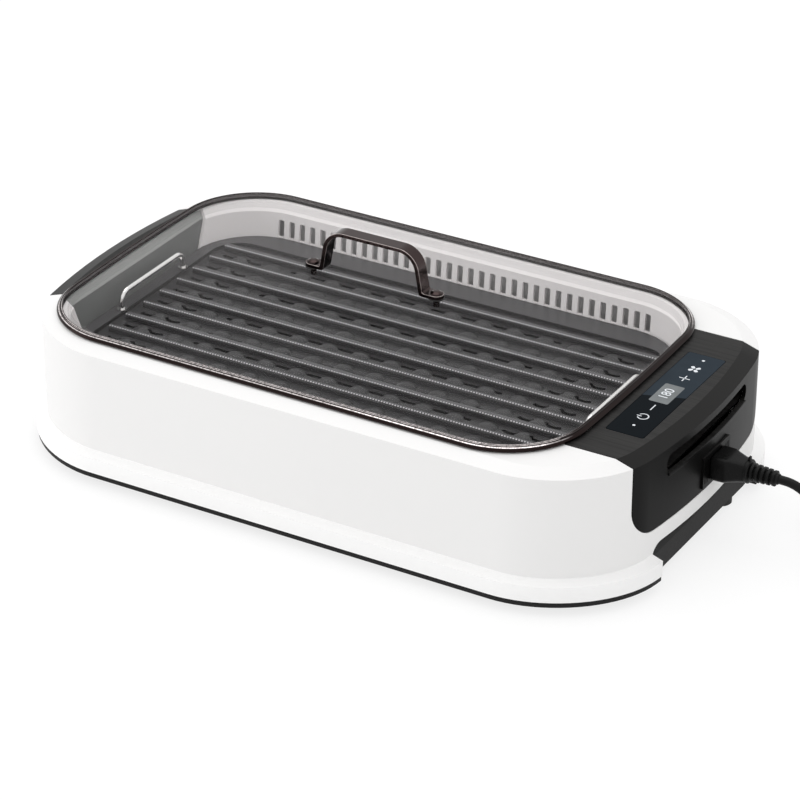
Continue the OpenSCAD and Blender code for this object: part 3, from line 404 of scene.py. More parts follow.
class Paint:
    """Node tree of one material, with short calls for the nodes that the finishes use."""

    def __init__(self, name: str) -> None:
        """Start a material with one main shader."""
        self.material = bpy.data.materials.new(name)
        self.material.use_nodes = True
        self.tree = self.material.node_tree
        self.shader = self.tree.nodes["Principled BSDF"]

    def node(self, kind: str, **settings: object) -> bpy.types.Node:
        """Add a node and give it its settings."""
        made = self.tree.nodes.new(kind)
        for name, value in settings.items():
            setattr(made, name, value)
        return made

    def put(self, socket: Socket, value: object) -> None:
        """Link a socket to another one, or give it a value."""
        if isinstance(value, Socket):
            self.tree.links.new(value, socket)
        else:
            socket.default_value = value

    def place(self, stretch: Point = (1, 1, 1)) -> Socket:
        """Return the surface's place in the frame, stretched along each axis."""
        where = self.node("ShaderNodeTexCoord").outputs["Object"]
        if tuple(stretch) == (1, 1, 1):
            return where
        mapping = self.node("ShaderNodeMapping")
        self.put(mapping.inputs["Vector"], where)
        mapping.inputs["Scale"].default_value = stretch
        return mapping.outputs["Vector"]

    def noise(self, scale: float, stretch: Point = (1, 1, 1), detail: float = 4.0
              ) -> Socket:
        """Return a noise of the given fineness per metre."""
        made = self.node("ShaderNodeTexNoise")
        self.put(made.inputs["Vector"], self.place(stretch))
        made.inputs["Scale"].default_value = scale
        made.inputs["Detail"].default_value = detail
        return made.outputs["Fac"]

    def span(self, value: Socket, low: float, high: float,
             to_low: float = 0.0, to_high: float = 1.0) -> Socket:
        """Return a value carried from one range to another and held inside it."""
        made = self.node("ShaderNodeMapRange")
        self.put(made.inputs["Value"], value)
        for name, number in (
            ("From Min", low), ("From Max", high), ("To Min", to_low), ("To Max", to_high)
        ):
            made.inputs[name].default_value = number
        return made.outputs["Result"]

    def sum(self, kind: str, first: object, second: object = 0.0) -> Socket:
        """Return the result of a sum with one or two terms."""
        made = self.node("ShaderNodeMath", operation=kind)
        self.put(made.inputs[0], first)
        self.put(made.inputs[1], second)
        return made.outputs[0]

    def axis(self, name: str) -> Socket:
        """Return the surface's place along one axis."""
        made = self.node("ShaderNodeSeparateXYZ")
        self.put(made.inputs[0], self.place())
        return made.outputs[name]

    def facing(self, name: str) -> Socket:
        """Return how far the surface faces along an axis, from -1 to 1."""
        made = self.node("ShaderNodeSeparateXYZ")
        self.put(made.inputs[0], self.node("ShaderNodeNewGeometry").outputs["Normal"])
        return made.outputs[name]

    def blend(self, share: object, low: object, high: object) -> Socket:
        """Return a mix of two colours."""
        made = self.node("ShaderNodeMix", data_type="RGBA")
        self.put(made.inputs["Factor"], share)
        for socket, value in ((made.inputs[6], low), (made.inputs[7], high)):
            self.put(socket, (*value, 1.0) if isinstance(value, tuple) else value)
        return made.outputs[2]

    def base(self, value: object) -> None:
        """Give the shader its colour."""
        self.put(self.shader.inputs["Base Color"], value)

    def rough(self, value: object) -> None:
        """Give the shader its roughness."""
        self.put(self.shader.inputs["Roughness"], value)

    def relief(self, height: Socket, depth: float) -> None:
        """Give the surface a fine relief of the given depth."""
        made = self.node("ShaderNodeBump")
        made.inputs["Distance"].default_value = depth
        self.put(made.inputs["Height"], height)
        self.put(self.shader.inputs["Normal"], made.outputs["Normal"])


MADE: dict[Finish, bpy.types.Material] = {}


@dataclass(frozen=True)
class Finish:
    """A finish of one material with a fine grain in its colour, gloss and relief."""

    name: str
    colour: Colour
    roughness: float
    metallic: float = 0.0
    grain: float = 900.0
    shade: float = 0.06
    depth: float = 0.00003
    stretch: Point = (1, 1, 1)
    coat: float = 0.0
    specular: float = 0.5

    def material(self) -> bpy.types.Material:
        """Return the material, made once."""
        if self in MADE:
            return MADE[self]
        paint = Paint(f"{self.name}_finish")
        shader = paint.shader
        shader.inputs["Metallic"].default_value = self.metallic
        shader.inputs["Coat Weight"].default_value = self.coat
        shader.inputs["Specular IOR Level"].default_value = self.specular
        shader.inputs["Coat Roughness"].default_value = 0.05
        self.dress(paint)
        MADE[self] = paint.material
        return paint.material

    def tone(self, share: float) -> Colour:
        """Return the colour made lighter or darker by a share."""
        return tuple(min(1.0, c * (1 + share)) for c in self.colour)

    def vary(self, paint: Paint, value: Socket, ends: Pair, shares: Pair) -> None:
        """Let the roughness follow a value.

        Args:
            paint: Node tree that is dressed.
            value: Value that is followed.
            ends: Range of the value.
            shares: Shares of the finish's roughness at both ends of the range.
        """
        paint.rough(paint.span(value, *ends, *(self.roughness * share for share in shares)))

    def dress(self, paint: Paint) -> None:
        """Colour the surface with its fine grain.

        Args:
            paint: Node tree that is dressed.
        """
        grain = paint.noise(self.grain, self.stretch)
        cloud = paint.noise(9.0, detail=2.0)
        base = paint.blend(grain, self.tone(-self.shade), self.tone(self.shade))
        patches = paint.span(cloud, 0.3, 0.7, 0.0, 0.25)
        paint.base(paint.blend(patches, base, self.tone(-self.shade)))
        self.vary(paint, grain, (0.25, 0.75), (0.85, 1.15))
        paint.relief(grain, self.depth)


@dataclass(frozen=True)
class ShellFinish(Finish):
    """White moulded plastic, painted lighter on its plinth to stand for the light that the
    floor bounces up.
    """

    # Painted light: the plinth's lighter colour stands for light bounced up from the floor.
    foot: Colour = (0.97, 0.967, 0.963)
    painted_light_top: float = 28 * MM

    def dress(self, paint: Paint) -> None:
        """Paint light onto what lies below the plinth's top, for the light that the floor
        bounces up.
        """
        super().dress(paint)
        colour = paint.shader.inputs["Base Color"]
        plain = colour.links[0].from_socket
        # Painted light: full from 1 mm below the plinth's top downwards, fading out at that
        # top.
        low = paint.span(paint.axis("Z"), self.painted_light_top, self.painted_light_top - 1 * MM)
        paint.put(colour, paint.blend(low, plain, self.foot))


@dataclass(frozen=True)
class BrushedCap(Finish):
    """Dark coated metal, brushed along the grill on top and satin on its walls, with the walls
    painted darker as shade.
    """

    # Painted shade: the walls have a real satin finish, and their colour is darker than the
    # top's because less light falls on them.
    wall: Colour = (0.0035, 0.0034, 0.0034)
    long_streaks: tuple[float, Point, float] = (420.0, (0.035, 1.0, 0.05), 6.0)
    fine_streaks: tuple[float, Point, float] = (1500.0, (0.02, 1.0, 0.02), 3.0)

    def dress(self, paint: Paint) -> None:
        """Draw long fine streaks on what faces up, and a plain satin on the rest, painted
        darker as shade.
        """
        long, fine = paint.noise(*self.long_streaks), paint.noise(*self.fine_streaks)
        streak = paint.span(paint.sum("ADD", long, fine), 0.8, 1.2)
        # Painted light and shade: what faces up takes the lighter top colour, the rest the
        # darker wall colour.
        top = paint.span(paint.facing("Z"), 0.55, 0.9)
        flat = paint.span(paint.facing("Z"), 0.95, 0.985)
        streak = paint.sum("MULTIPLY", streak, flat)
        brushed = paint.blend(streak, self.tone(-0.3), self.tone(0.6))
        paint.base(paint.blend(top, self.wall, brushed))
        paint.rough(
            paint.sum("ADD", paint.span(streak, 0.0, 1.0, -0.05, 0.08), self.roughness)
        )
        paint.relief(streak, self.depth)


@dataclass(frozen=True)
class PrintedGlassWithPaintedReflection(Finish):
    """Glass printed dark navy on its back, with a painted reflection that lightens its rear
    part to a blue-grey.
    """

    # Painted reflection: the lighter blue-grey of the rear part, and where its edge lies.
    reflection_tone: Colour = (0.026, 0.036, 0.047)
    reflection_edge: float = -86 * MM
    reflection_edge_slope: float = 0.35
    reflection_edge_blur: float = 0.5 * MM

    def dress(self, paint: Paint) -> None:
        """Carry the navy print into the painted reflection along the panel, at a slanted, sharp
        edge.
        """
        grain = paint.noise(60.0, detail=2.0)
        slope = paint.sum("MULTIPLY", paint.axis("X"), self.reflection_edge_slope)
        along = paint.sum("SUBTRACT", paint.axis("Y"), slope)
        blur = self.reflection_edge_blur
        step = paint.span(along, self.reflection_edge - blur, self.reflection_edge + blur)
        share = paint.sum("MULTIPLY", step, paint.span(grain, 0.2, 0.7, 0.8, 1.0))
        paint.base(paint.blend(share, self.colour, self.reflection_tone))
        self.vary(paint, grain, (0.2, 0.8), (0.8, 1.2))


@dataclass(frozen=True)
class LidGlassFinish(Finish):
    """Clear tempered glass with a grey tint, whose grey closes up at a slant as a painted
    reflection.
    """

    clear: float = 0.008
    slanted_reflection: float = 0.13

    def dress(self, paint: Paint) -> None:
        """Tint the glass and close its grey up where it is seen at a slant, as a painted
        reflection.
        """
        haze = paint.noise(14.0, detail=3.0)
        paint.base(paint.blend(haze, self.tone(-0.08), self.tone(0.08)))
        self.vary(paint, haze, (0.2, 0.8), (0.8, 1.2))
        # Painted reflection: the grey shows more where the surface is seen at a slant.
        slant = paint.node("ShaderNodeLayerWeight")
        slant.inputs["Blend"].default_value = 0.35
        paint.put(
            paint.shader.inputs["Alpha"],
            paint.span(slant.outputs["Facing"], 0.35, 0.95, self.clear, self.slanted_reflection),
        )


@dataclass(frozen=True)
class ChromeWithPaintedHighlights(Finish):
    """Dark chrome of a rolled rim, with painted highlights: bright lines that run along its
    curves.
    """

    foot: float = 113.8 * MM
    # Painted highlights: their colour, and for each line its height above the foot, half width
    # and strength.
    bright: Colour = (0.9, 0.84, 0.83)
    highlight_bands: Sequence[Point] = (
        (0.7 * MM, 0.3 * MM, 0.3), (3.6 * MM, 0.25 * MM, 0.9), (4.75 * MM, 0.5 * MM, 1.0)
    )

    def dress(self, paint: Paint) -> None:
        """Paint highlights as thin lighter lines at fixed heights, broken up along the rim."""
        height = paint.axis("Z")
        dashes = paint.span(paint.noise(650.0, (1, 1, 0.1), 1.0), 0.35, 0.55, 0.5, 1.0)
        # Painted highlights show only where the surface is turned towards the front or the
        # back.
        turned = paint.span(paint.sum("ABSOLUTE", paint.facing("Y")), 0.12, 0.3)
        lit = paint.sum("MULTIPLY", dashes, turned)
        colour: object = self.colour
        for above, half, share in self.highlight_bands:
            off = paint.sum("SUBTRACT", height, self.foot + above)
            line = paint.span(paint.sum("ABSOLUTE", off), half, half * 0.4, 0.0, share)
            colour = paint.blend(paint.sum("MULTIPLY", line, lit), colour, self.bright)
        paint.base(colour)
        self.vary(paint, dashes, (0.0, 1.0), (1.2, 0.8))


@dataclass(frozen=True)
class CastPlateFinish(Finish):
    """Dark non-stick coating on cast metal, with painted light on its upper parts and painted
    dotted highlights along the edges of the ribs.
    """

    rib_top: float = 86.2 * MM
    # Painted light: drops below the ribs' tops where the lighter margin, the dotted highlights
    # and the lit tops begin.
    margin: Pair = (2.2 * MM, 1.9 * MM)
    edge: Pair = (0.75 * MM, 0.6 * MM)
    flat: Pair = (0.06 * MM, 0.03 * MM)
    highlight_dots: float = 2600.0

    def above(self, paint: Paint, drops: Pair) -> Socket:
        """Return 1 for what lies above a level.

        Args:
            paint: Node tree that is dressed.
            drops: Where the change starts and ends, below the top of the ribs.

        Returns:
            The share, from 0 to 1.
        """
        return paint.span(paint.axis("Z"), *(self.rib_top - drop for drop in drops))

    def dress(self, paint: Paint) -> None:
        """Speckle the coating, paint light on the margin, and paint dotted highlights on the
        ribs' edges and light on their tops.
        """
        grain = paint.noise(2200.0, detail=5.0)
        speck = paint.noise(700.0, detail=2.0)
        base = paint.blend(grain, self.tone(-0.3), self.tone(0.35))
        # Painted light on the margin.
        pale = paint.blend(grain, self.tone(0.6), self.tone(2.4))
        base = paint.blend(self.above(paint, self.margin), base, pale)
        # Painted highlights, dotted along the ribs' edges.
        wave = paint.sum("SINE", paint.sum("MULTIPLY", paint.axis("X"), self.highlight_dots))
        dotted_highlight = paint.span(paint.sum("ADD", wave, speck), 0.3, 0.7)
        dotted = paint.blend(dotted_highlight, self.tone(0.8), self.tone(17.0))
        # Painted light on the ribs' tops.
        lit_crown = paint.blend(grain, self.tone(0.5), self.tone(2.5))
        rib = paint.blend(self.above(paint, self.flat), dotted, lit_crown)
        paint.base(paint.blend(self.above(paint, self.edge), base, rib))
        self.vary(paint, speck, (0.3, 0.7), (0.85, 1.2))
        paint.relief(grain, self.depth)


WHITE_SHELL = ShellFinish("white_shell", (0.85, 0.845, 0.84), 0.42, grain=1500.0, shade=0.012,
                     depth=0.00001, coat=0.15)
WHITE_LINER = Finish("white_liner", (0.95, 0.915, 0.91), 0.3, grain=1200.0, shade=0.012,
                     depth=0.00001, coat=0.3)
CAP = BrushedCap("brushed_cap", (0.019, 0.0185, 0.018), 0.42, depth=0.00002, specular=0.08)
CAP_WALL = Finish("cap_wall", (0.17, 0.178, 0.174), 0.45, grain=900.0)
CAP_EDGE = Finish("cap_edge", (0.3, 0.31, 0.3), 0.35, metallic=0.2, grain=700.0,
                  stretch=(1, 0.05, 1))
PAN_BLACK = Finish("pan_black", (0.012, 0.0115, 0.0115), 0.5, grain=1400.0, shade=0.2,
                   depth=0.00006, specular=0.16)
MOULDED_BLACK = Finish("moulded_black", (0.0035, 0.0035, 0.0035), 0.3, grain=1600.0,
                       shade=0.2, depth=0.00004, specular=0.12)
# Painted shade: a black without gloss that makes the seam round the caps read as a shaded gap.
SEAM_SHADE = Finish("seam_shade_black", (0.003, 0.003, 0.003), 0.7, grain=900.0, specular=0.0)
RUBBER = Finish("foot_rubber", (0.018, 0.018, 0.018), 0.75, grain=1800.0, shade=0.2,
                depth=0.00008)
CORD_RUBBER = Finish("cord_rubber", (0.006, 0.006, 0.006), 0.4, grain=2500.0, shade=0.15,
                     depth=0.00004, specular=0.14)
TOUCH = PrintedGlassWithPaintedReflection("touch_glass", (0.002, 0.0042, 0.0065), 0.08, depth=0.0,
                     specular=0.02)
LIT_PANEL = Finish("lit_panel", (0.16, 0.175, 0.18), 0.15, grain=90.0, shade=0.45,
                   depth=0.0, specular=0.3)
ICON = Finish("icon_white", (0.75, 0.78, 0.82), 0.3, grain=500.0, shade=0.02, depth=0.0)
STEEL = Finish("steel", (0.56, 0.55, 0.54), 0.35, metallic=1.0, grain=900.0, shade=0.08)
BRIGHT_STEEL = Finish("bright_steel", (0.78, 0.77, 0.76), 0.13, metallic=1.0, grain=700.0,
                      shade=0.04, depth=0.00001)
DARK_CHROME = Finish("dark_chrome", (0.05, 0.036, 0.035), 0.1, metallic=1.0, grain=500.0,
                     shade=0.06, depth=0.000005)
# Painted highlight: light chrome on the handle's rounded edges, where light catches them.
EDGE_HIGHLIGHT_CHROME = Finish("edge_highlight_chrome", (0.7, 0.62, 0.6), 0.15, metallic=1.0, grain=300.0,
                     shade=0.35, depth=0.000005)
RIM_CHROME = ChromeWithPaintedHighlights("rim_chrome", (0.02, 0.0135, 0.013), 0.12, metallic=1.0,
                          depth=0.000005)
TRAY_STEEL = Finish("tray_steel", (0.42, 0.41, 0.40), 0.4, metallic=0.9, grain=600.0,
                    shade=0.1, stretch=(0.05, 1, 1))
SHEATH = Finish("heater_sheath", (0.11, 0.10, 0.095), 0.45, metallic=0.8, grain=800.0,
                shade=0.2)
CERAMIC = Finish("ceramic", (0.72, 0.68, 0.58), 0.55, grain=1500.0, shade=0.08)
BOARD = Finish("circuit_board", (0.03, 0.14, 0.07), 0.4, grain=600.0, shade=0.3, coat=0.3)
DISPLAY = Finish("display_plastic", (0.5, 0.53, 0.56), 0.3, grain=500.0, shade=0.05)
WIRE = Finish("wire_insulation", (0.35, 0.05, 0.03), 0.5, grain=1500.0, shade=0.1)
SEAL = LidGlassFinish("seal", (0.55, 0.53, 0.53), 0.4, specular=0.3, clear=0.06,
                      slanted_reflection=0.15)
PLATE = CastPlateFinish("cast_plate", (0.034, 0.0335, 0.0345), 0.4, depth=0.00006,
                        specular=0.35)
GLAZING = Finish("glazing", (0.24, 0.22, 0.22), 0.4, grain=700.0, shade=0.5,
                 stretch=(1, 1, 3))
GLASS = LidGlassFinish("lid_glass", (0.45, 0.42, 0.42), 0.05, depth=0.0, coat=0.5,
                       specular=0.8)

CAD_FINISHES: dict[str, Finish] = {
    "base_pan": PAN_BLACK, "rubber_feet": RUBBER, "display_module": DISPLAY,
    "control_board": BOARD, "power_board": BOARD, "power_inlet": MOULDED_BLACK,
    "inlet_pins": STEEL, "element_socket": CERAMIC, "thermostat_probe": STEEL,
    "fan_motor": STEEL, "fan_scroll": MOULDED_BLACK, "wiring_harness": WIRE,
    "base_screws": STEEL, "liner_screws": STEEL, "fan_rotor": MOULDED_BLACK,
    "fan_shaft": STEEL, "drip_tray": TRAY_STEEL, "heating_tube": SHEATH,
    "terminal_block": CERAMIC, "terminal_blades": STEEL, "element_supports": STEEL,
    "grill_plate": PLATE, "left_plate_handle": BRIGHT_STEEL,
    "right_plate_handle": BRIGHT_STEEL, "handle_screws": DARK_CHROME,
    "handle_washers": RUBBER, "wall_plug": MOULDED_BLACK, "plug_blades": BRIGHT_STEEL,
}


def dress(obj: Object, finish: Finish) -> None:
    """Give a piece its finish, and leave the finish of its edges."""
    if obj.type == "MESH" and len(obj.data.materials) == 2:
        obj.data.materials[0] = finish.material()
        return
    obj.data.materials.clear()
    obj.data.materials.append(finish.material())


def seat(obj: Object, body: str, finish: Finish,
         stands_for: Iterable[str] = (), angle: float = 32.0) -> Object:
    """Dress a finished piece and let it ride on its body.

    Args:
        obj: The piece.
        body: Body that carries it.
        finish: Finish of the whole piece.
        stands_for: CAD nodes that it replaces.
        angle: Least turn in degrees that stays a sharp edge.

    Returns:
        The piece.
    """
    if obj.type == "MESH":
        smooth(obj, angle)
    dress(obj, finish)
    if stands_for:
        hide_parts(*stands_for)
    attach(obj, body)
    log.info("%s on %s", obj.name, body)
    return obj


# Shared sizes


@dataclass(frozen=True)
class Sizes:
    """Sizes that the sub-assemblies share."""

    opening: Plan = Plan(221 * MM, 136 * MM, 60 * MM, 0.0, -20 * MM)
    housing: Plan = Plan(270.5 * MM, 160 * MM, 72 * MM, 22.5 * MM)
    plinth_out: float = 8.5 * MM
    shell_wall: float = 2.6 * MM
    seam: float = 0.6 * MM
    cap_start: float = 2 * MM
    skirt_lift: float = 11.8 * MM
    ledge_low: float = 24.5 * MM
    plinth_top: float = 27 * MM
    chamfer_z: float = 109 * MM
    chamfer_width: float = 12 * MM
    top: float = 113.5 * MM
    seat_z: float = 80 * MM
    cap_widths: Pair = (211 * MM, 182 * MM)
    wall_widths: Pair = (211 * MM, 195 * MM)
    cap_bottom: float = 48 * MM
    cap_radius: float = 25 * MM
    wall_slant: float = 13.5 * MM
    slope_run: float = 6.8 * MM
    slope_rise: float = 8 * MM
    far: float = 0.4

    @property
    def skirt(self) -> Plan:
        """Outline of the plinth."""
        return self.housing.grown(self.plinth_out)

    @property
    def lid_x(self) -> float:
        """Middle of the opening and the lid."""
        return self.opening.centre

    def edge_x(self, end: End) -> float:
        """Place of the opening's edge at an end."""
        return self.lid_x + end.value * self.opening.half_length

    def outside(self) -> list[tuple[float, Plan]]:
        """Return the steps of the outside, from the skirt to the top."""
        return [
            (self.skirt_lift, self.skirt),
            (self.ledge_low, self.skirt),
            (self.plinth_top, self.housing),
            (self.chamfer_z, self.housing),
            (self.top, self.housing.grown(-self.chamfer_width)),
        ]

    def inside(self) -> list[tuple[float, Plan]]:
        """Return the steps of the space inside the walls, from the top down."""
        wall = self.shell_wall
        return [
            (self.top - wall, self.housing.grown(-self.chamfer_width - wall / 2)),
            (self.chamfer_z - wall / 2, self.housing.grown(-wall)),
            (self.plinth_top - wall / 2, self.housing.grown(-wall)),
            (self.ledge_low - wall / 2, self.skirt.grown(-wall)),
            (self.skirt_lift, self.skirt.grown(-wall)),
        ]

    def cap_half(self, end: End) -> float:
        """Return half the width of the cap at an end."""
        return self.cap_widths[0 if end is End.RIGHT else 1] / 2

    def wall_half(self, end: End) -> float:
        """Return half the width of the inner wall at an end."""
        return self.wall_widths[0 if end is End.RIGHT else 1] / 2

    def cap_outline(self, end: End, gap: float) -> list[Point]:
        """Return the end cap's outline seen from the end."""
        half = self.cap_half(end) + gap
        low, high = self.cap_bottom - gap, self.top + 0.05
        round_by = self.cap_radius + gap
        return [
            (half, high, 0), (-half, high, 0), (-half, low, round_by), (half, low, round_by)
        ]


SIZES = Sizes()


# Sub-assemblies


@dataclass
class PowerLead:
    """The free lead: out of the strain relief, down to the table and into its coil."""

    diameter: float = 7 * MM
    inner: float = 31 * MM
    step: float = 8.8 * MM
    turns: float = 1.75
    rise: float = 7.5 * MM
    middle: Pair = (373.6 * MM, 73 * MM)
    out: Sequence[Point] = (
        (323.2, 8, 63), (333, 8, 62.4), (343, 8, 58.5), (353, 8, 51), (363, 8.5, 40.5),
        (371, 9, 29), (380, 10.5, 18.5), (390, 14, 10.5), (400, 19.5, 5.5), (409, 27, 3.7),
        (416, 37, 3.5), (419.4, 48, 3.5), (420, 58, 3.5),
    )
    back: Sequence[Point] = ((420, 90, 10.2), (420, 101, 7.8), (420, 112, 6))

    def coil_point(self, turn: float) -> Point:
        """Return the point of the coil after a number of turns."""
        outer = self.inner + self.step * self.turns
        if turn < self.turns:
            radius = outer - self.step * turn
        else:
            radius = self.inner + self.step * max(0.0, turn - self.turns - 0.5)
        climb = min(1.0, max(0.0, (turn - self.turns) / 0.5))
        angle = 2 * math.pi * turn
        return (
            self.middle[0] + radius * math.cos(angle),
            self.middle[1] + radius * math.sin(angle),
            self.diameter / 2 + self.rise * climb,
        )

    def route(self) -> list[Vector]:
        """Return the whole route of the lead."""
        total, rings = 2 * self.turns + 0.5, 24
        coil = [Vector(self.coil_point(k / rings)) for k in range(int(total * rings) + 1)]
        step = Vector((0, self.diameter, 0))
        return (
            [Vector(p) * MM for p in self.out]
            + [coil[0] - step, *coil, coil[-1] + step]
            + [Vector(p) * MM for p in self.back]
        )

    def build(self) -> None:
        route = self.route()
        data = bpy.data.curves.new("lead", "CURVE")
        data.dimensions = "3D"
        data.bevel_depth = self.diameter / 2
        data.bevel_resolution = 5
        data.resolution_u = 3
        spline = data.splines.new("BEZIER")
        spline.bezier_points.add(len(route) - 1)
        for knot, place in zip(spline.bezier_points, route):
            knot.co = place
            knot.handle_left_type = knot.handle_right_type = "AUTO"
        lead = bpy.data.objects.new("lead", data)
        link(lead)
        seat(lead, "cord_set", CORD_RUBBER,
             ["power_lead", "lead_coil", "lead_tail"])


@dataclass
class Connector:
    """Black power connector with its ribbed strain relief and a cut cable tie."""

    back: float = 249.5 * MM
    face: float = 272.2 * MM
    relief: float = 297.2 * MM
    lead: float = 323.2 * MM
    centre: Pair = (8 * MM, 63 * MM)
    ribs: int = 5

    def build(self) -> None:
        """Make the connector's body and the strain relief."""
        body = piece("connector_body", self.draw_body)
        soften(body, 0.5 * MM, 2, 30.0)
        seat(body, "cord_set", MOULDED_BLACK, ["power_connector"], 35.0)
        relief = piece("ribbed_relief", self.draw_relief)
        seat(relief, "cord_set", CORD_RUBBER, ["strain_relief"], 40.0)

    def draw_body(self, mesh: BMesh) -> None:
        """Draw the nose in the inlet and the tapering body behind it."""
        face, relief = self.face, self.relief
        sections = [
            (self.back, 23.8, 15.8, 2), (face - 0.1 * MM, 23.8, 15.8, 2),
            (face, 24.6, 18.6, 4), (face + 1 * MM, 26, 20, 4), (face + 11 * MM, 25.6, 19.6, 4),
            (face + 13.5 * MM, 24.4, 18.6, 5), (face + 20 * MM, 20.6, 16.6, 5.6),
            (relief - 1.4 * MM, 19.4, 15.8, 6), (relief, 18.8, 15.2, 6),
        ]
        rows = []
        for x, wide, high, radius in sections:
            plan = Plan(wide / 2 * MM, high / 2 * MM, radius * MM, corner_steps=8, side_steps=3)
            rows.append([
                Vector((x, self.centre[0] + p.x, self.centre[1] + p.y))
                for p in plan.points(0.0)
            ])
        base = Plan(13 * MM, 10 * MM, 5 * MM, corner_steps=8, side_steps=3)
        skin(mesh, base, rows)

    def draw_relief(self, mesh: BMesh) -> None:
        """Draw the ribs, the collar and the cut end of a cable tie."""
        start = self.relief - 0.6 * MM
        line = [(start, 3.3), (start, 8.8), (start + 0.7 * MM, 9.4), (start + 3 * MM, 9.4),
                (start + 3.6 * MM, 8.8), (start + 3.8 * MM, 5.0)]
        step = (self.lead - start - 5 * MM) / self.ribs
        for k in range(self.ribs):
            x, rib = start + 4.6 * MM + k * step, 7.3 - 0.3 * k
            line += [(x, 4.9), (x + 0.3 * MM, rib), (x + step * 0.5, rib),
                     (x + step * 0.58, 4.8 - 0.1 * k)]
        line += [(self.lead - 0.4 * MM, 4.2), (self.lead, 3.8), (self.lead, 3.3)]
        verts = [
            mesh.verts.new((x, self.centre[0], self.centre[1] + r * MM)) for x, r in line
        ]
        edges = [mesh.edges.new(pair) for pair in zip(verts, verts[1:])]
        bmesh.ops.spin(
            mesh, geom=[*verts, *edges], cent=(0, *self.centre), axis=(1, 0, 0),
            angle=2 * math.pi, steps=32, use_merge=True,
        )
        bmesh.ops.holes_fill(mesh, edges=mesh.edges, sides=0)
        face_out(mesh)
        top = self.centre[1] + 9.1 * MM
        prism(mesh, [(start + 0.6 * MM, top, 0.3 * MM), (start + 3.2 * MM, top, 0.3 * MM),
                     (start + 2.9 * MM, top + 3.4 * MM, 0.5 * MM),
                     (start + 1.4 * MM, top + 3.6 * MM, 0.5 * MM)],
              self.centre[0] - 1.3 * MM, self.centre[0] + 1.3 * MM, Axis.Y, 3)


@dataclass
class Housing:
    """White moulded shell with its stepped plinth and sloped top edge."""

    notch_half: float = 82 * MM
    notch_top: float = 34.5 * MM
    notch_radius: float = 12 * MM
    ring_height: float = 4.6 * MM
    ring_inset: float = 0.7 * MM
    ring_width: float = 6 * MM
    ring_gap: float = 0.05 * MM
    opening_gap: float = 0.3 * MM
    notch_drop: float = 5 * MM
    notch_start: float = 0.15

    def shell(self, name: str, sunk: float = 0.0) -> Object:
        """Return the whole shell with rounded edges, before any cut.

        Args:
            name: Name of the piece.
            sunk: How far its outside lies under the housing's.

        Returns:
            The shell.
        """
        opening = SIZES.opening.grown(SIZES.slope_run + self.opening_gap)
        outside = [(z - sunk, plan.grown(-sunk)) for z, plan in SIZES.outside()]
        steps = outside + [
            (SIZES.top - sunk, opening), (SIZES.top - SIZES.shell_wall, opening)
        ] + SIZES.inside()
        obj = ring(name, steps)
        soften(obj, 0.9 * MM, 3, 15.0)
        return obj

    def build(self) -> None:
        """Make the white shell, open where the caps and the notches are."""
        obj = self.shell("white_housing")
        reach = SIZES.far

        def cutters(mesh: BMesh) -> None:
            """Draw the room of the caps and the notches at both ends."""
            for end in End:
                near = SIZES.edge_x(end) - end.value * SIZES.cap_start
                prism(mesh, SIZES.cap_outline(end, SIZES.seam),
                      *sorted((near, end.value * reach)), Axis.X, 12)

        combine(obj, piece("caps_room", cutters), Cut.TAKE_AWAY)
        combine(obj, piece("notches", self.notches), Cut.TAKE_AWAY)
        seat(obj, "base", WHITE_SHELL, ["housing"], 28.0)
        self.build_ring()

    def notches(self, mesh: BMesh) -> None:
        """Draw the notches in the skirt at both ends."""
        low = SIZES.skirt_lift - self.notch_drop
        outline = [
            (self.notch_half, self.notch_top, self.notch_radius),
            (-self.notch_half, self.notch_top, self.notch_radius),
            (-self.notch_half, low, 0), (self.notch_half, low, 0),
        ]
        for end in End:
            near, far = sorted(end.value * x for x in (self.notch_start, SIZES.far))
            prism(mesh, outline, near, far, Axis.X)

    def build_ring(self) -> None:
        """Make the black ring of the base that shows under the skirt."""
        high = SIZES.skirt_lift - self.ring_gap
        outer = SIZES.skirt.grown(-self.ring_inset)
        obj = band("base_ring", high - self.ring_height, high, outer, self.ring_width)
        soften(obj, 0.6 * MM, 2)
        combine(obj, piece("notches", self.notches), Cut.TAKE_AWAY)
        seat(obj, "base", PAN_BLACK)


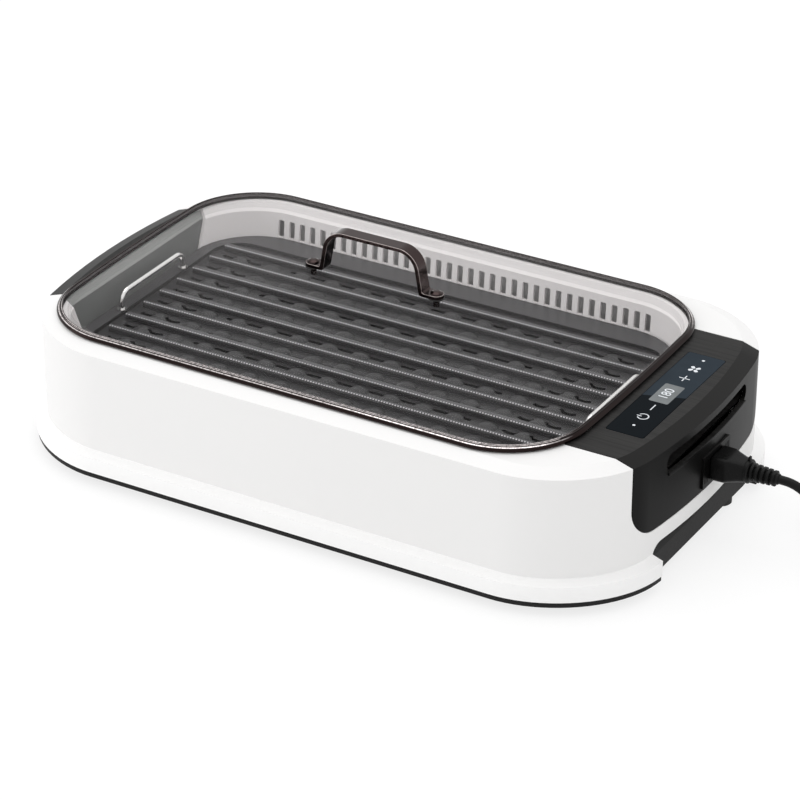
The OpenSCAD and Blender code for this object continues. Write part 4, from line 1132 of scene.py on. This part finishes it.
@dataclass
class InnerLiner:
    """White inner wall with its bright bead, its vent slots and the plate's seat."""

    wall: float = 2.2 * MM
    draft: float = 2.5 * MM
    slot_pitch: float = 10 * MM
    slot_width: float = 5.2 * MM
    slot_height: float = 15 * MM
    slot_low: float = 84.2 * MM
    slot_count: int = 35
    slot_radius: float = 1.2 * MM
    slot_reach: float = 8 * MM
    well_draw: float = 9 * MM
    floor_draw: float = 17 * MM
    bead_drops: Pair = (0.5 * MM, 0.3 * MM)
    bead_in: float = 0.6 * MM
    bead_under: float = 2.6 * MM
    room_low: float = 0.01 * MM
    room_top: float = 0.2
    room_gap: float = 0.3 * MM
    room_in: float = 25 * MM
    tray_z: float = 58 * MM

    def steps(self) -> list[tuple[float, Plan]]:
        """Return the closed profile of the wall, from the bead round to the outside."""
        plan = SIZES.opening
        top = SIZES.top
        well = plan.grown(-self.well_draw)
        floor = plan.grown(-self.floor_draw)
        outer = plan.grown(self.wall)
        edge = plan.grown(SIZES.slope_run)
        outside, inside = self.bead_drops
        return [
            (top - outside, edge), (top - inside, edge.grown(-self.bead_in)),
            (top - SIZES.slope_rise, plan), (SIZES.seat_z, plan.grown(-self.draft)),
            (SIZES.seat_z, well), (self.tray_z, well), (self.tray_z, floor),
            (self.tray_z - self.wall, floor), (self.tray_z - self.wall, well.grown(self.wall)),
            (SIZES.seat_z - self.wall, well.grown(self.wall)),
            (SIZES.seat_z - self.wall, outer.grown(-self.draft)),
            (top - SIZES.slope_rise - self.wall, outer), (top - self.bead_under, edge),
        ]

    def slots(self, mesh: BMesh) -> None:
        """Draw both rows of vent slots."""
        half = SIZES.opening.half_width
        for side in (-1, 1):
            for k in range(self.slot_count):
                x = SIZES.lid_x + (k - (self.slot_count - 1) / 2) * self.slot_pitch
                outline = rounded(
                    self.slot_width, self.slot_height, self.slot_radius,
                    (x, self.slot_low + self.slot_height / 2),
                )
                near, far = sorted(side * (half + s * self.slot_reach) for s in (-1, 1))
                prism(mesh, outline, near, far, Axis.Y, 3)

    def build(self) -> None:
        """Make the liner and cut the slots and the caps' room."""
        obj = ring("white_liner", self.steps())
        soften(obj, 0.8 * MM, 3, 20.0)
        combine(obj, piece("vent_slots", self.slots), Cut.TAKE_AWAY)

        def caps_room(mesh: BMesh) -> None:
            """Draw the room of the caps' inner walls, whose ends slant."""
            low, high = SIZES.seat_z + self.room_low, self.room_top
            for end in End:
                half = SIZES.wall_half(end) - self.room_gap
                foot = half - SIZES.wall_slant
                outline = [(half, high, 0), (-half, high, 0), (-half, SIZES.top, 0),
                           (-foot, low, 0), (foot, low, 0), (half, SIZES.top, 0)]
                near = SIZES.edge_x(end) - end.value * self.room_in
                prism(mesh, outline, *sorted((near, end.value * SIZES.far)), Axis.X)

        combine(obj, piece("caps_room", caps_room), Cut.TAKE_AWAY)
        seat(obj, "base", WHITE_LINER, ["inner_liner"], 30.0)


@dataclass
class EndCap:
    """Dark brushed cap over one end, with its hand slot and its inner wall."""

    end: End
    grip_length: float = 134 * MM
    grip_height: float = 15.5 * MM
    grip_depth: float = 18 * MM
    strip_run: float = 7 * MM
    strip_rise: float = 8 * MM
    wall: float = 2.2 * MM
    grip_drop: float = 6 * MM
    grip_back: float = 6 * MM
    pocket_wall: float = 2.6 * MM
    pocket_start: float = 8 * MM
    lip_short: float = 2 * MM
    lip_low: float = 2.2 * MM
    lip_high: float = 0.6 * MM
    lip_root: float = 3 * MM
    lip_out: float = 1.1 * MM
    flange_sunk: float = 1 * MM
    flange_out: float = 1.5 * MM
    flange_in: float = 3 * MM

    @property
    def grip_z(self) -> float:
        """Height of the hand slot's middle."""
        return SIZES.chamfer_z - self.grip_drop - self.grip_height / 2

    def along(self, near: float, far: float) -> list[float]:
        """Return two places along X, lowest first, for distances towards this end."""
        return sorted((self.end.value * near, self.end.value * far))

    def grip(self, extra: float) -> list[Point]:
        """Return the outline of the hand slot, larger by an extra all round."""
        radius = self.grip_height / 2 + extra - 0.01 * MM
        return rounded(
            self.grip_length + 2 * extra, self.grip_height + 2 * extra, radius, (0, self.grip_z)
        )

    def build(self) -> None:
        """Make the cap with its pocket and its inner wall."""
        side = self.end.name.lower()
        edge = abs(SIZES.edge_x(self.end))
        end_x = SIZES.housing.half_length
        back = end_x - self.grip_depth - self.grip_back
        obj = Housing().shell(f"{side}_cap")
        room = self.along(edge - SIZES.cap_start, SIZES.far)
        combine(obj, block("room", SIZES.cap_outline(self.end, 0.0), room, Axis.X, 14),
                Cut.KEEP_COMMON)
        inside = self.along(back - self.pocket_wall, end_x - self.pocket_start)
        combine(obj, block("pocket", self.grip(2 * MM), inside, Axis.X, 10), Cut.JOIN)
        mouth = self.along(back, SIZES.far)
        combine(obj, block("mouth", self.grip(0.0), mouth, Axis.X, 10), Cut.TAKE_AWAY)
        self.cut_more(obj)
        seat(obj, "base", CAP, [f"{side}_end_cap"], 28.0)
        self.build_shade_flange(side, edge)
        self.build_lip(side)
        self.build_inner_wall(side, edge)

    def build_shade_flange(self, side: str, edge: float) -> None:
        """Make the black flange that shows in the seam round the cap, whose black is painted
        shade in the gap.
        """
        obj = Housing().shell(f"{side}_cap_shade_flange", self.flange_sunk)
        reach = self.along(edge - SIZES.cap_start, SIZES.far)
        for gap, how in (
            (SIZES.seam + self.flange_out, Cut.KEEP_COMMON), (-self.flange_in, Cut.TAKE_AWAY)
        ):
            outline = SIZES.cap_outline(self.end, gap)
            combine(obj, block("room", outline, reach, Axis.X, 12), how)
        seat(obj, "base", SEAM_SHADE)

    def cut_more(self, obj: Object) -> None:
        """Cut what only one of the caps has."""

    def build_lip(self, side: str) -> None:
        """Make the proud lip under the hand slot."""
        half = self.grip_length / 2 - self.lip_short
        mouth = self.grip_z - self.grip_height / 2
        low, high = mouth - self.lip_low, mouth + self.lip_high
        outline = [
            (-half, high, 0.8 * MM), (-half, low, 1.4 * MM),
            (half, low, 1.4 * MM), (half, high, 0.8 * MM),
        ]
        wall = SIZES.housing

        def draw(mesh: BMesh) -> None:
            """Draw a bar that follows the bulge of the end."""
            root, tip = wall.half_length - self.lip_root, wall.half_length + self.lip_out
            prism(mesh, outline, root, tip, Axis.X)
            cuts = [e for e in mesh.edges if e.calc_length() > half]
            bmesh.ops.subdivide_edges(mesh, edges=cuts, cuts=16, use_grid_fill=True)
            for vert in mesh.verts:
                vert.co.x -= wall.bulge * (vert.co.y / wall.half_width) ** 2
                vert.co.x *= self.end.value
            face_out(mesh)

        obj = piece(f"{side}_grip_lip", draw)
        soften(obj, 0.4 * MM, 2, 40.0)
        seat(obj, "base", CAP)

    def build_inner_wall(self, side: str, edge: float) -> None:
        """Make the dark wall beside the plate and the pale sloped strip on top of it."""
        low = SIZES.seat_z + 0.2 * MM
        top = SIZES.top
        half = SIZES.wall_half(self.end)
        wall = [
            (edge, low, 0), (edge + self.wall, low, 0),
            (edge + self.wall, top - self.strip_rise, 0), (edge, top - self.strip_rise, 0),
        ]
        strip = [
            (edge - 0.2 * MM, top - self.strip_rise, 0.8 * MM),
            (edge + self.wall, top - self.strip_rise, 0),
            (edge + self.strip_run + 1 * MM, top - 2.4 * MM, 0),
            (edge + self.strip_run - 0.1 * MM, top - 0.2 * MM, 0.8 * MM),
        ]
        flip = [(self.end.value * x, z, r) for x, z, r in wall]
        tall = top - SIZES.seat_z

        def draw(mesh: BMesh) -> None:
            """Draw the wall and slant its ends."""
            prism(mesh, flip, -half, half, Axis.Y)
            for vert in mesh.verts:
                vert.co.y *= 1 - SIZES.wall_slant / half * (top - vert.co.z) / tall

        obj = piece(f"{side}_inner_wall", draw)
        soften(obj, 0.4 * MM, 2)
        seat(obj, "base", CAP_WALL)
        slope = [(self.end.value * x, z, r) for x, z, r in strip]
        obj = block(f"{side}_top_strip", slope, (-half, half), Axis.Y, 4)
        seat(obj, "base", CAP_EDGE)


@dataclass
class RightEndCap(EndCap):
    """The cap at the control end, with the touch panel's recess and the power inlet."""

    end: End = End.RIGHT
    grip_depth: float = 24 * MM
    inlet: Pair = (8 * MM, 63 * MM)
    surround_out: float = 1.4 * MM
    surround_size: Pair = (45 * MM, 27 * MM)
    mouth_size: Pair = (25.6 * MM, 17.6 * MM)
    groove: Pair = (1 * MM, 19 * MM)
    groove_pitch: float = 2.4 * MM
    groove_start: float = 15 * MM
    groove_count: int = 3
    touch: Pair = (31.6 * MM, 139.6 * MM)
    touch_x: float = 232.25 * MM

    def cut_more(self, obj: Object) -> None:
        """Add the inlet's surround and cut its mouth and the touch panel's recess."""
        face = SIZES.housing.half_length + self.surround_out

        def surround(mesh: BMesh) -> None:
            """Draw the plate round the inlet."""
            prism(mesh, rounded(*self.surround_size, 2 * MM, self.inlet),
                  SIZES.housing.half_length - 2.6 * MM, face, Axis.X, 4)

        def mouths(mesh: BMesh) -> None:
            """Draw the inlet's mouth, the grooves beside it and the panel's recess."""
            prism(mesh, rounded(*self.mouth_size, 2 * MM, self.inlet),
                  SIZES.housing.half_length - 8 * MM, SIZES.far, Axis.X, 4)
            for sign in (-1, 1):
                for k in range(self.groove_count):
                    out = self.groove_start + self.groove_pitch * k
                    middle = (self.inlet[0] + sign * out, self.inlet[1])
                    prism(mesh, rounded(*self.groove, 0.3 * MM, middle),
                          face - 0.5 * MM, SIZES.far, Axis.X, 2)
            prism(mesh, rounded(*self.touch, 2 * MM, (self.touch_x, 0)),
                  SIZES.top - 1.4 * MM, SIZES.top + 5 * MM, Axis.Z, 4)

        combine(obj, piece("surround", surround), Cut.JOIN)
        combine(obj, piece("mouths", mouths), Cut.TAKE_AWAY)


@dataclass
class TouchPanel:
    """Touch glass on the control end with its lit window, digits and signs."""

    middle: Pair = (232.25 * MM, 0.0)
    width: float = 31 * MM
    length: float = 139 * MM
    top: float = 113.7 * MM
    thickness: float = 1.6 * MM
    proud: float = 0.06 * MM
    sunk: float = 0.3 * MM
    line: float = 0.9 * MM
    window: Pair = (16 * MM, 30 * MM)
    lamps_y: Pair = (-55 * MM, 61 * MM)
    lamp_radius: float = 1.2 * MM
    switch_y: float = -40 * MM
    less_y: float = -24 * MM
    more_y: float = 28.5 * MM
    fan_y: float = 45.5 * MM
    sign_size: float = 9 * MM
    digits: str = "180"
    digit_size: float = 11 * MM

    def build(self) -> None:
        """Make the glass, the window and the signs."""
        glass = block(
            "touch_panel", rounded(self.width, self.length, 2 * MM, self.middle),
            (self.top - self.thickness, self.top), Axis.Z, 5,
        )
        soften(glass, 0.3 * MM, 2)
        seat(glass, "base", TOUCH, ["touch_glass"])
        window = block(
            "lit_window", rounded(*self.window, 1.5 * MM, self.middle),
            (self.top - 0.5 * MM, self.top + self.proud), Axis.Z, 4,
        )
        seat(window, "base", LIT_PANEL)
        signs = piece("touch_signs", self.draw_signs)
        seat(signs, "base", ICON)
        self.build_digits()

    def bar(self, mesh: BMesh, x: float, y: float, wide: float, long: float) -> None:
        """Add a thin flat bar of the signs."""
        prism(mesh, rounded(wide, long, min(wide, long) * 0.4, (x, y)),
              self.top - self.sunk, self.top + self.proud, Axis.Z, 3)

    def draw_signs(self, mesh: BMesh) -> None:
        """Draw the two lamps, the switch sign, less, more and the fan sign."""
        x = self.middle[0] + 0.6 * MM
        line, size = self.line, self.sign_size
        low, high = self.top - self.sunk, self.sunk + self.proud
        for y in self.lamps_y:
            disc(mesh, (x, y, low), self.lamp_radius, high, 16)
        for y in (self.less_y, self.more_y):
            self.bar(mesh, x, y, line, size)
        self.bar(mesh, x, self.more_y, size, line)
        self.arc(mesh, (x, self.switch_y), 4.1 * MM, 300, 210)
        self.bar(mesh, x - 3.2 * MM, self.switch_y, 4 * MM, line)
        for turn in range(4):
            self.blade(mesh, (x, self.fan_y), math.radians(90 * turn + 45))

    def blade(self, mesh: BMesh, hub: Pair, angle: float) -> None:
        """Add one leaf-shaped blade of the fan sign, turned round its hub."""
        part = bmesh.new()
        prism(part, [(1.0 * MM, -1.1 * MM, 0.5 * MM), (4.9 * MM, -1.9 * MM, 1.7 * MM),
                     (5.1 * MM, 1.6 * MM, 1.6 * MM), (1.2 * MM, 0.9 * MM, 0.5 * MM)],
              self.top - self.sunk, self.top + self.proud, Axis.Z, 5)
        turn = Matrix.Translation((*hub, 0)) @ Matrix.Rotation(angle, 4, "Z")
        bmesh.ops.transform(part, matrix=turn, verts=part.verts)
        pour(part, mesh)

    def arc(self, mesh: BMesh, middle: Pair, radius: float, degrees: float, start: float
            ) -> None:
        """Add a thin flat arc of the signs.

        Args:
            mesh: Mesh that takes the arc.
            middle: Middle of the arc.
            radius: Radius of its middle line.
            degrees: How far it turns.
            start: Where it starts, in degrees from X.
        """
        part = bmesh.new()
        low, high = self.top - self.sunk, self.top + self.proud
        corners = [
            part.verts.new((radius + sx * self.line / 2, 0, z))
            for sx, z in ((-1, low), (1, low), (1, high), (-1, high))
        ]
        face = part.faces.new(corners)
        bmesh.ops.spin(
            part, geom=[face, *face.edges, *face.verts], cent=(0, 0, 0), axis=(0, 0, 1),
            angle=math.radians(degrees), steps=20, use_merge=False,
        )
        turn = Matrix.Translation((*middle, 0)) @ Matrix.Rotation(math.radians(start), 4, "Z")
        bmesh.ops.transform(part, matrix=turn, verts=part.verts)
        face_out(part)
        pour(part, mesh)

    def build_digits(self) -> None:
        """Make the plain digits in the window."""
        data = bpy.data.curves.new("digits", "FONT")
        data.body = self.digits
        data.size = self.digit_size
        data.extrude = 0.05 * MM
        data.align_x = data.align_y = "CENTER"
        holder = bpy.data.objects.new("digits_line", data)
        link(holder)
        bpy.context.view_layer.update()
        mesh = bpy.data.meshes.new_from_object(holder)
        bpy.data.objects.remove(holder)
        turn = Matrix.Translation((*self.middle, self.top + self.proud)) @ Matrix.Rotation(
            math.radians(90), 4, "Z"
        )
        mesh.transform(turn)
        digits = bpy.data.objects.new("window_digits", mesh)
        link(digits)
        seat(digits, "base", ICON)


@dataclass
class Lid:
    """Lift-off lid: domed glass in a dark metal rim, with a bent strip handle."""

    rim: Plan = Plan(230.2 * MM, 147.7 * MM, 65 * MM, 4 * MM, -20 * MM)
    rim_width: float = 4.9 * MM
    rim_height: float = 5.3 * MM
    low: float = 113.8 * MM
    glass_edge: float = 115 * MM
    glass: float = 3.6 * MM
    rise: float = 25.6 * MM
    dome_steps: int = 16
    span: float = 110 * MM
    handle_height: float = 36 * MM
    handle_width: float = 12 * MM
    strip: float = 3 * MM
    foot_z: float = 143.9 * MM
    post_in: float = 9 * MM
    bend_in: float = 6 * MM
    post_radii: Pair = (1.5 * MM, 2.5 * MM)
    bend_radii: Pair = (15 * MM, 12 * MM)
    rim_lip: float = 2.85 * MM
    locating_gap: float = 1.6 * MM
    locating_drop: float = 4.5 * MM
    locating_width: float = 2.4 * MM
    hole: float = 2.7 * MM

    def build(self) -> None:
        """Make the rim, the glass, the locating lip and the handle."""
        self.build_rim()
        self.build_glazing()
        self.build_glass()
        self.build_lip()
        self.build_handle()

    def build_rim(self) -> None:
        """Make the metal rim as one closed ring of constant section."""
        h, w, g = self.rim_height, self.rim_width, self.glass_edge - self.low
        lip = self.rim_lip
        profile = [
            (-w, 0.0), (-1 * MM, 0.0), (-0.2 * MM, 0.8 * MM), (0.0, h * 0.35),
            (-0.25 * MM, h * 0.5), (-1 * MM, h * 0.62), (-2.6 * MM, h * 0.74),
            (-w + 1.4 * MM, h * 0.88), (-w + 0.5 * MM, h), (-w, h - 0.15 * MM),
            (-w, g + self.glass + 0.06 * MM), (-lip, g + self.glass + 0.06 * MM),
            (-lip, g - 0.1 * MM), (-w, g - 0.1 * MM),
        ]
        steps = [(self.low + z, self.rim.grown(out)) for out, z in profile]
        seat(ring("rim", steps), "lid", RIM_CHROME, ["lid_rim"], 50.0)

    def build_glazing(self) -> None:
        """Make the grey strip that holds the edge of the glass in the rim."""
        low, high = self.glass_edge - 0.08 * MM, self.glass_edge + self.glass + 0.04 * MM
        outer = self.rim.grown(-self.rim_lip - 0.01 * MM)
        seat(band("glazing_strip", low, high, outer, 0.12 * MM), "lid", GLAZING)

    def build_glass(self) -> None:
        """Make the domed glass: the rim's outline drawn towards an ellipse and up."""
        edge = self.rim.grown(-3 * MM)
        dome = edge.grown(-5.5 * MM)
        base = self.glass_edge + self.glass

        shares = [max(0.02, 1 - k / self.dome_steps) for k in range(self.dome_steps + 1)]
        under = dome.grown(-0.5 * self.glass)

        def rows(plan: Plan, drop: float) -> list[list[Vector]]:
            """Return the rows of a dome over an outline, lowered by a drop."""
            lift = Vector((0, 0, -drop))
            return [
                [self.dome_point(plan, at, u, base) + lift for at in plan.points(base)]
                for u in shares
            ]

        low = [at - Vector((0, 0, self.glass)) for at in edge.points(base)]
        inner = rows(under, self.glass)
        section = [edge.points(base), *rows(dome, 0.0)]

        def draw(mesh: BMesh) -> None:
            """Draw the glass from the middle of its underside round its edge to its top."""
            skin(mesh, dome, [*reversed(inner), low, *section])

        obj = piece("dome_glass", draw)
        seat(obj, "lid", GLASS, ["lid_glass"], 40.0)

    def dome_point(self, dome: Plan, at: Vector, share: float, base: float) -> Vector:
        """Return the dome's point above a point of its outline.

        Args:
            dome: Outline of the dome.
            at: Point of the outline.
            share: Share of the dome's size.
            base: Height of the dome's foot.

        Returns:
            The point on the dome.
        """
        x, y = at.x - dome.centre, at.y
        angle = math.atan2(y / dome.half_width, x / dome.half_length)
        keep = share**3
        return Vector((
            dome.centre + share * (keep * x + (1 - keep) * dome.half_length * math.cos(angle)),
            share * (keep * y + (1 - keep) * dome.half_width * math.sin(angle)),
            base + self.rise * (1 - share * share),
        ))

    def build_lip(self) -> None:
        """Make the locating lip that drops inside the opening."""
        outer = SIZES.opening.grown(self.locating_gap)
        low, high = SIZES.top - self.locating_drop, self.glass_edge - 0.1 * MM
        obj = band("locating_lip", low, high, outer, self.locating_width)
        soften(obj, 0.6 * MM, 2)
        seat(obj, "lid", SEAL, ["lid_gasket"])

    def build_handle(self) -> None:
        """Make the handle: one bent strip whose feet turn out under the screws."""
        t, top = self.strip, self.handle_height
        post = self.span / 2 - self.post_in
        bend = post - self.bend_in
        foot = self.span / 2 + self.handle_width / 2
        post_out, post_in = self.post_radii
        bend_out, bend_in = self.bend_radii
        outline = [
            (-foot, 0, 0), (-foot, t, 0), (-post, t, post_out), (-bend, top, bend_out),
            (bend, top, bend_out), (post, t, post_out), (foot, t, 0), (foot, 0, 0),
            (post - t, 0, post_in), (bend - t, top - t, bend_in),
            (-bend + t, top - t, bend_in), (-post + t, 0, post_in),
        ]
        places = [(SIZES.lid_x + x, self.foot_z + z, r) for x, z, r in outline]
        half = self.handle_width / 2

        def draw(mesh: BMesh) -> None:
            """Draw the strip and round its feet."""
            prism(mesh, places, -half, half, Axis.Y, 10)
            ends = [
                e for e in mesh.edges
                if all(abs(abs(v.co.x - SIZES.lid_x) - foot) < 1e-6 for v in e.verts)
                and abs(e.verts[0].co.y - e.verts[1].co.y) < 1e-6
            ]
            bmesh.ops.bevel(mesh, geom=ends, offset=half * 0.97, affect="EDGES", segments=8,
                            profile=0.5, material=-1)

        obj = piece("lid_handle_strip", draw)
        combine(obj, piece("screw_holes", self.screw_holes), Cut.TAKE_AWAY)
        # The rounded edges take a painted highlight.
        soften(obj, 0.7 * MM, 2, 40.0, EDGE_HIGHLIGHT_CHROME)
        seat(obj, "lid", DARK_CHROME, ["lid_handle"], 40.0)

    def screw_holes(self, mesh: BMesh) -> None:
        """Draw the holes for the handle's screws."""
        for sign in (-1, 1):
            foot = (SIZES.lid_x + sign * self.span / 2, 0, self.foot_z - 1 * MM)
            disc(mesh, foot, self.hole, self.strip + 2 * MM)


@dataclass
class Studio:
    """Camera, white surroundings and soft lamps."""

    place: Point = (1.16792, -1.98552, 1.29641)
    turn: Point = (61.481, 0.0, 30.402)
    lens: float = 150.84
    sensor: float = 36.0
    near: float = 0.1
    sky: float = 0.9
    floor_colour: float = 0.86
    floor_glow: float = 1.08
    glow_share: float = 0.72
    floor_size: float = 30.0
    lamps: Sequence[tuple[str, Point, Point, float, float]] = field(
        default_factory=lambda: (
            ("top_lamp", (-0.2, 0.3, 1.9), (0, 0, 0.1), 1.6, 9.0),
            ("front_lamp", (-1.7, -1.1, 0.7), (0, 0, 0.05), 1.2, 7.5),
        )
    )

    def build(self) -> None:
        """Make the camera, the floor, the sky and the lamps."""
        camera = bpy.data.objects.new("camera", bpy.data.cameras.new("camera"))
        camera.data.lens = self.lens
        camera.data.sensor_width = self.sensor
        camera.data.clip_start = self.near
        camera.location = self.place
        camera.rotation_euler = [math.radians(a) for a in self.turn]
        link(camera)
        bpy.context.scene.camera = camera
        bpy.context.scene.view_settings.view_transform = "Standard"
        self.build_sky()
        self.build_floor()
        for name, place, target, size, power in self.lamps:
            self.build_lamp(name, place, target, size, power)

    def seen(self, tree: bpy.types.NodeTree) -> Socket:
        """Return a value that is 1 for what is seen directly, in gloss or through glass."""
        path = tree.nodes.new("ShaderNodeLightPath")
        total = path.outputs["Is Camera Ray"]
        for name in ("Is Glossy Ray", "Is Transmission Ray"):
            add = tree.nodes.new("ShaderNodeMath")
            add.operation = "MAXIMUM"
            tree.links.new(total, add.inputs[0])
            tree.links.new(path.outputs[name], add.inputs[1])
            total = add.outputs[0]
        return total

    def build_sky(self) -> None:
        """Light everything evenly, and show pure white behind the grill."""
        world = bpy.data.worlds.new("studio")
        world.use_nodes = True
        bpy.context.scene.world = world
        tree = world.node_tree
        plain = tree.nodes["Background"]
        plain.inputs["Color"].default_value = (1, 1, 1, 1)
        plain.inputs["Strength"].default_value = self.sky
        white = tree.nodes.new("ShaderNodeBackground")
        white.inputs["Color"].default_value = (1, 1, 1, 1)
        mix = tree.nodes.new("ShaderNodeMixShader")
        tree.links.new(self.seen(tree), mix.inputs["Fac"])
        tree.links.new(plain.outputs[0], mix.inputs[1])
        tree.links.new(white.outputs[0], mix.inputs[2])
        tree.links.new(mix.outputs[0], tree.nodes["World Output"].inputs["Surface"])

    def build_floor(self) -> None:
        """Lay a pale floor that glows white where it is seen and still takes a shadow."""
        def draw(mesh: BMesh) -> None:
            """Draw the floor."""
            bmesh.ops.create_grid(mesh, x_segments=2, y_segments=2, size=self.floor_size)

        floor = piece("floor", draw)
        paint = Paint("pale_floor")
        paint.base((*(self.floor_colour,) * 3, 1))
        paint.rough(0.9)
        glow = paint.node("ShaderNodeEmission")
        mix = paint.node("ShaderNodeMixShader")
        share = paint.sum("MULTIPLY", self.seen(paint.tree), self.glow_share)
        paint.put(mix.inputs[0], share)
        paint.put(mix.inputs[1], paint.shader.outputs[0])
        paint.put(mix.inputs[2], glow.outputs[0])
        below = paint.node("ShaderNodeMixShader")
        paint.put(below.inputs[0], paint.node("ShaderNodeNewGeometry").outputs["Backfacing"])
        paint.put(below.inputs[1], mix.outputs[0])
        paint.put(below.inputs[2], paint.node("ShaderNodeBsdfTransparent").outputs[0])
        paint.put(paint.tree.nodes["Material Output"].inputs["Surface"], below.outputs[0])
        glow.inputs["Strength"].default_value = self.floor_glow
        floor.data.materials.append(paint.material)

    def build_lamp(self, name: str, place: Point, target: Point, size: float, power: float
                   ) -> None:
        """Hang one soft lamp.

        Args:
            name: Name of the lamp.
            place: Where it hangs.
            target: Point that it faces.
            size: Side of its square.
            power: Its power in watts.
        """
        data = bpy.data.lights.new(name, "AREA")
        data.size = size
        data.energy = power
        lamp = bpy.data.objects.new(name, data)
        lamp.location = place
        lamp.rotation_euler = (Vector(target) - Vector(place)).to_track_quat(
            "-Z", "Y"
        ).to_euler()
        link(lamp)


def main() -> None:
    """Build the scene around the frame."""
    logging.basicConfig(level=logging.INFO, format="%(name)s: %(message)s")
    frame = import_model()
    for assembly in (
        Studio(), PowerLead(), Connector(), Housing(), InnerLiner(), RightEndCap(),
        EndCap(End.LEFT), TouchPanel(), Lid(),
    ):
        assembly.build()
        log.info("%s is built", type(assembly).__name__)
    for name, finish in CAD_FINISHES.items():
        dress(frame["nodes"][name], finish)


if __name__ == "__main__":
    main()
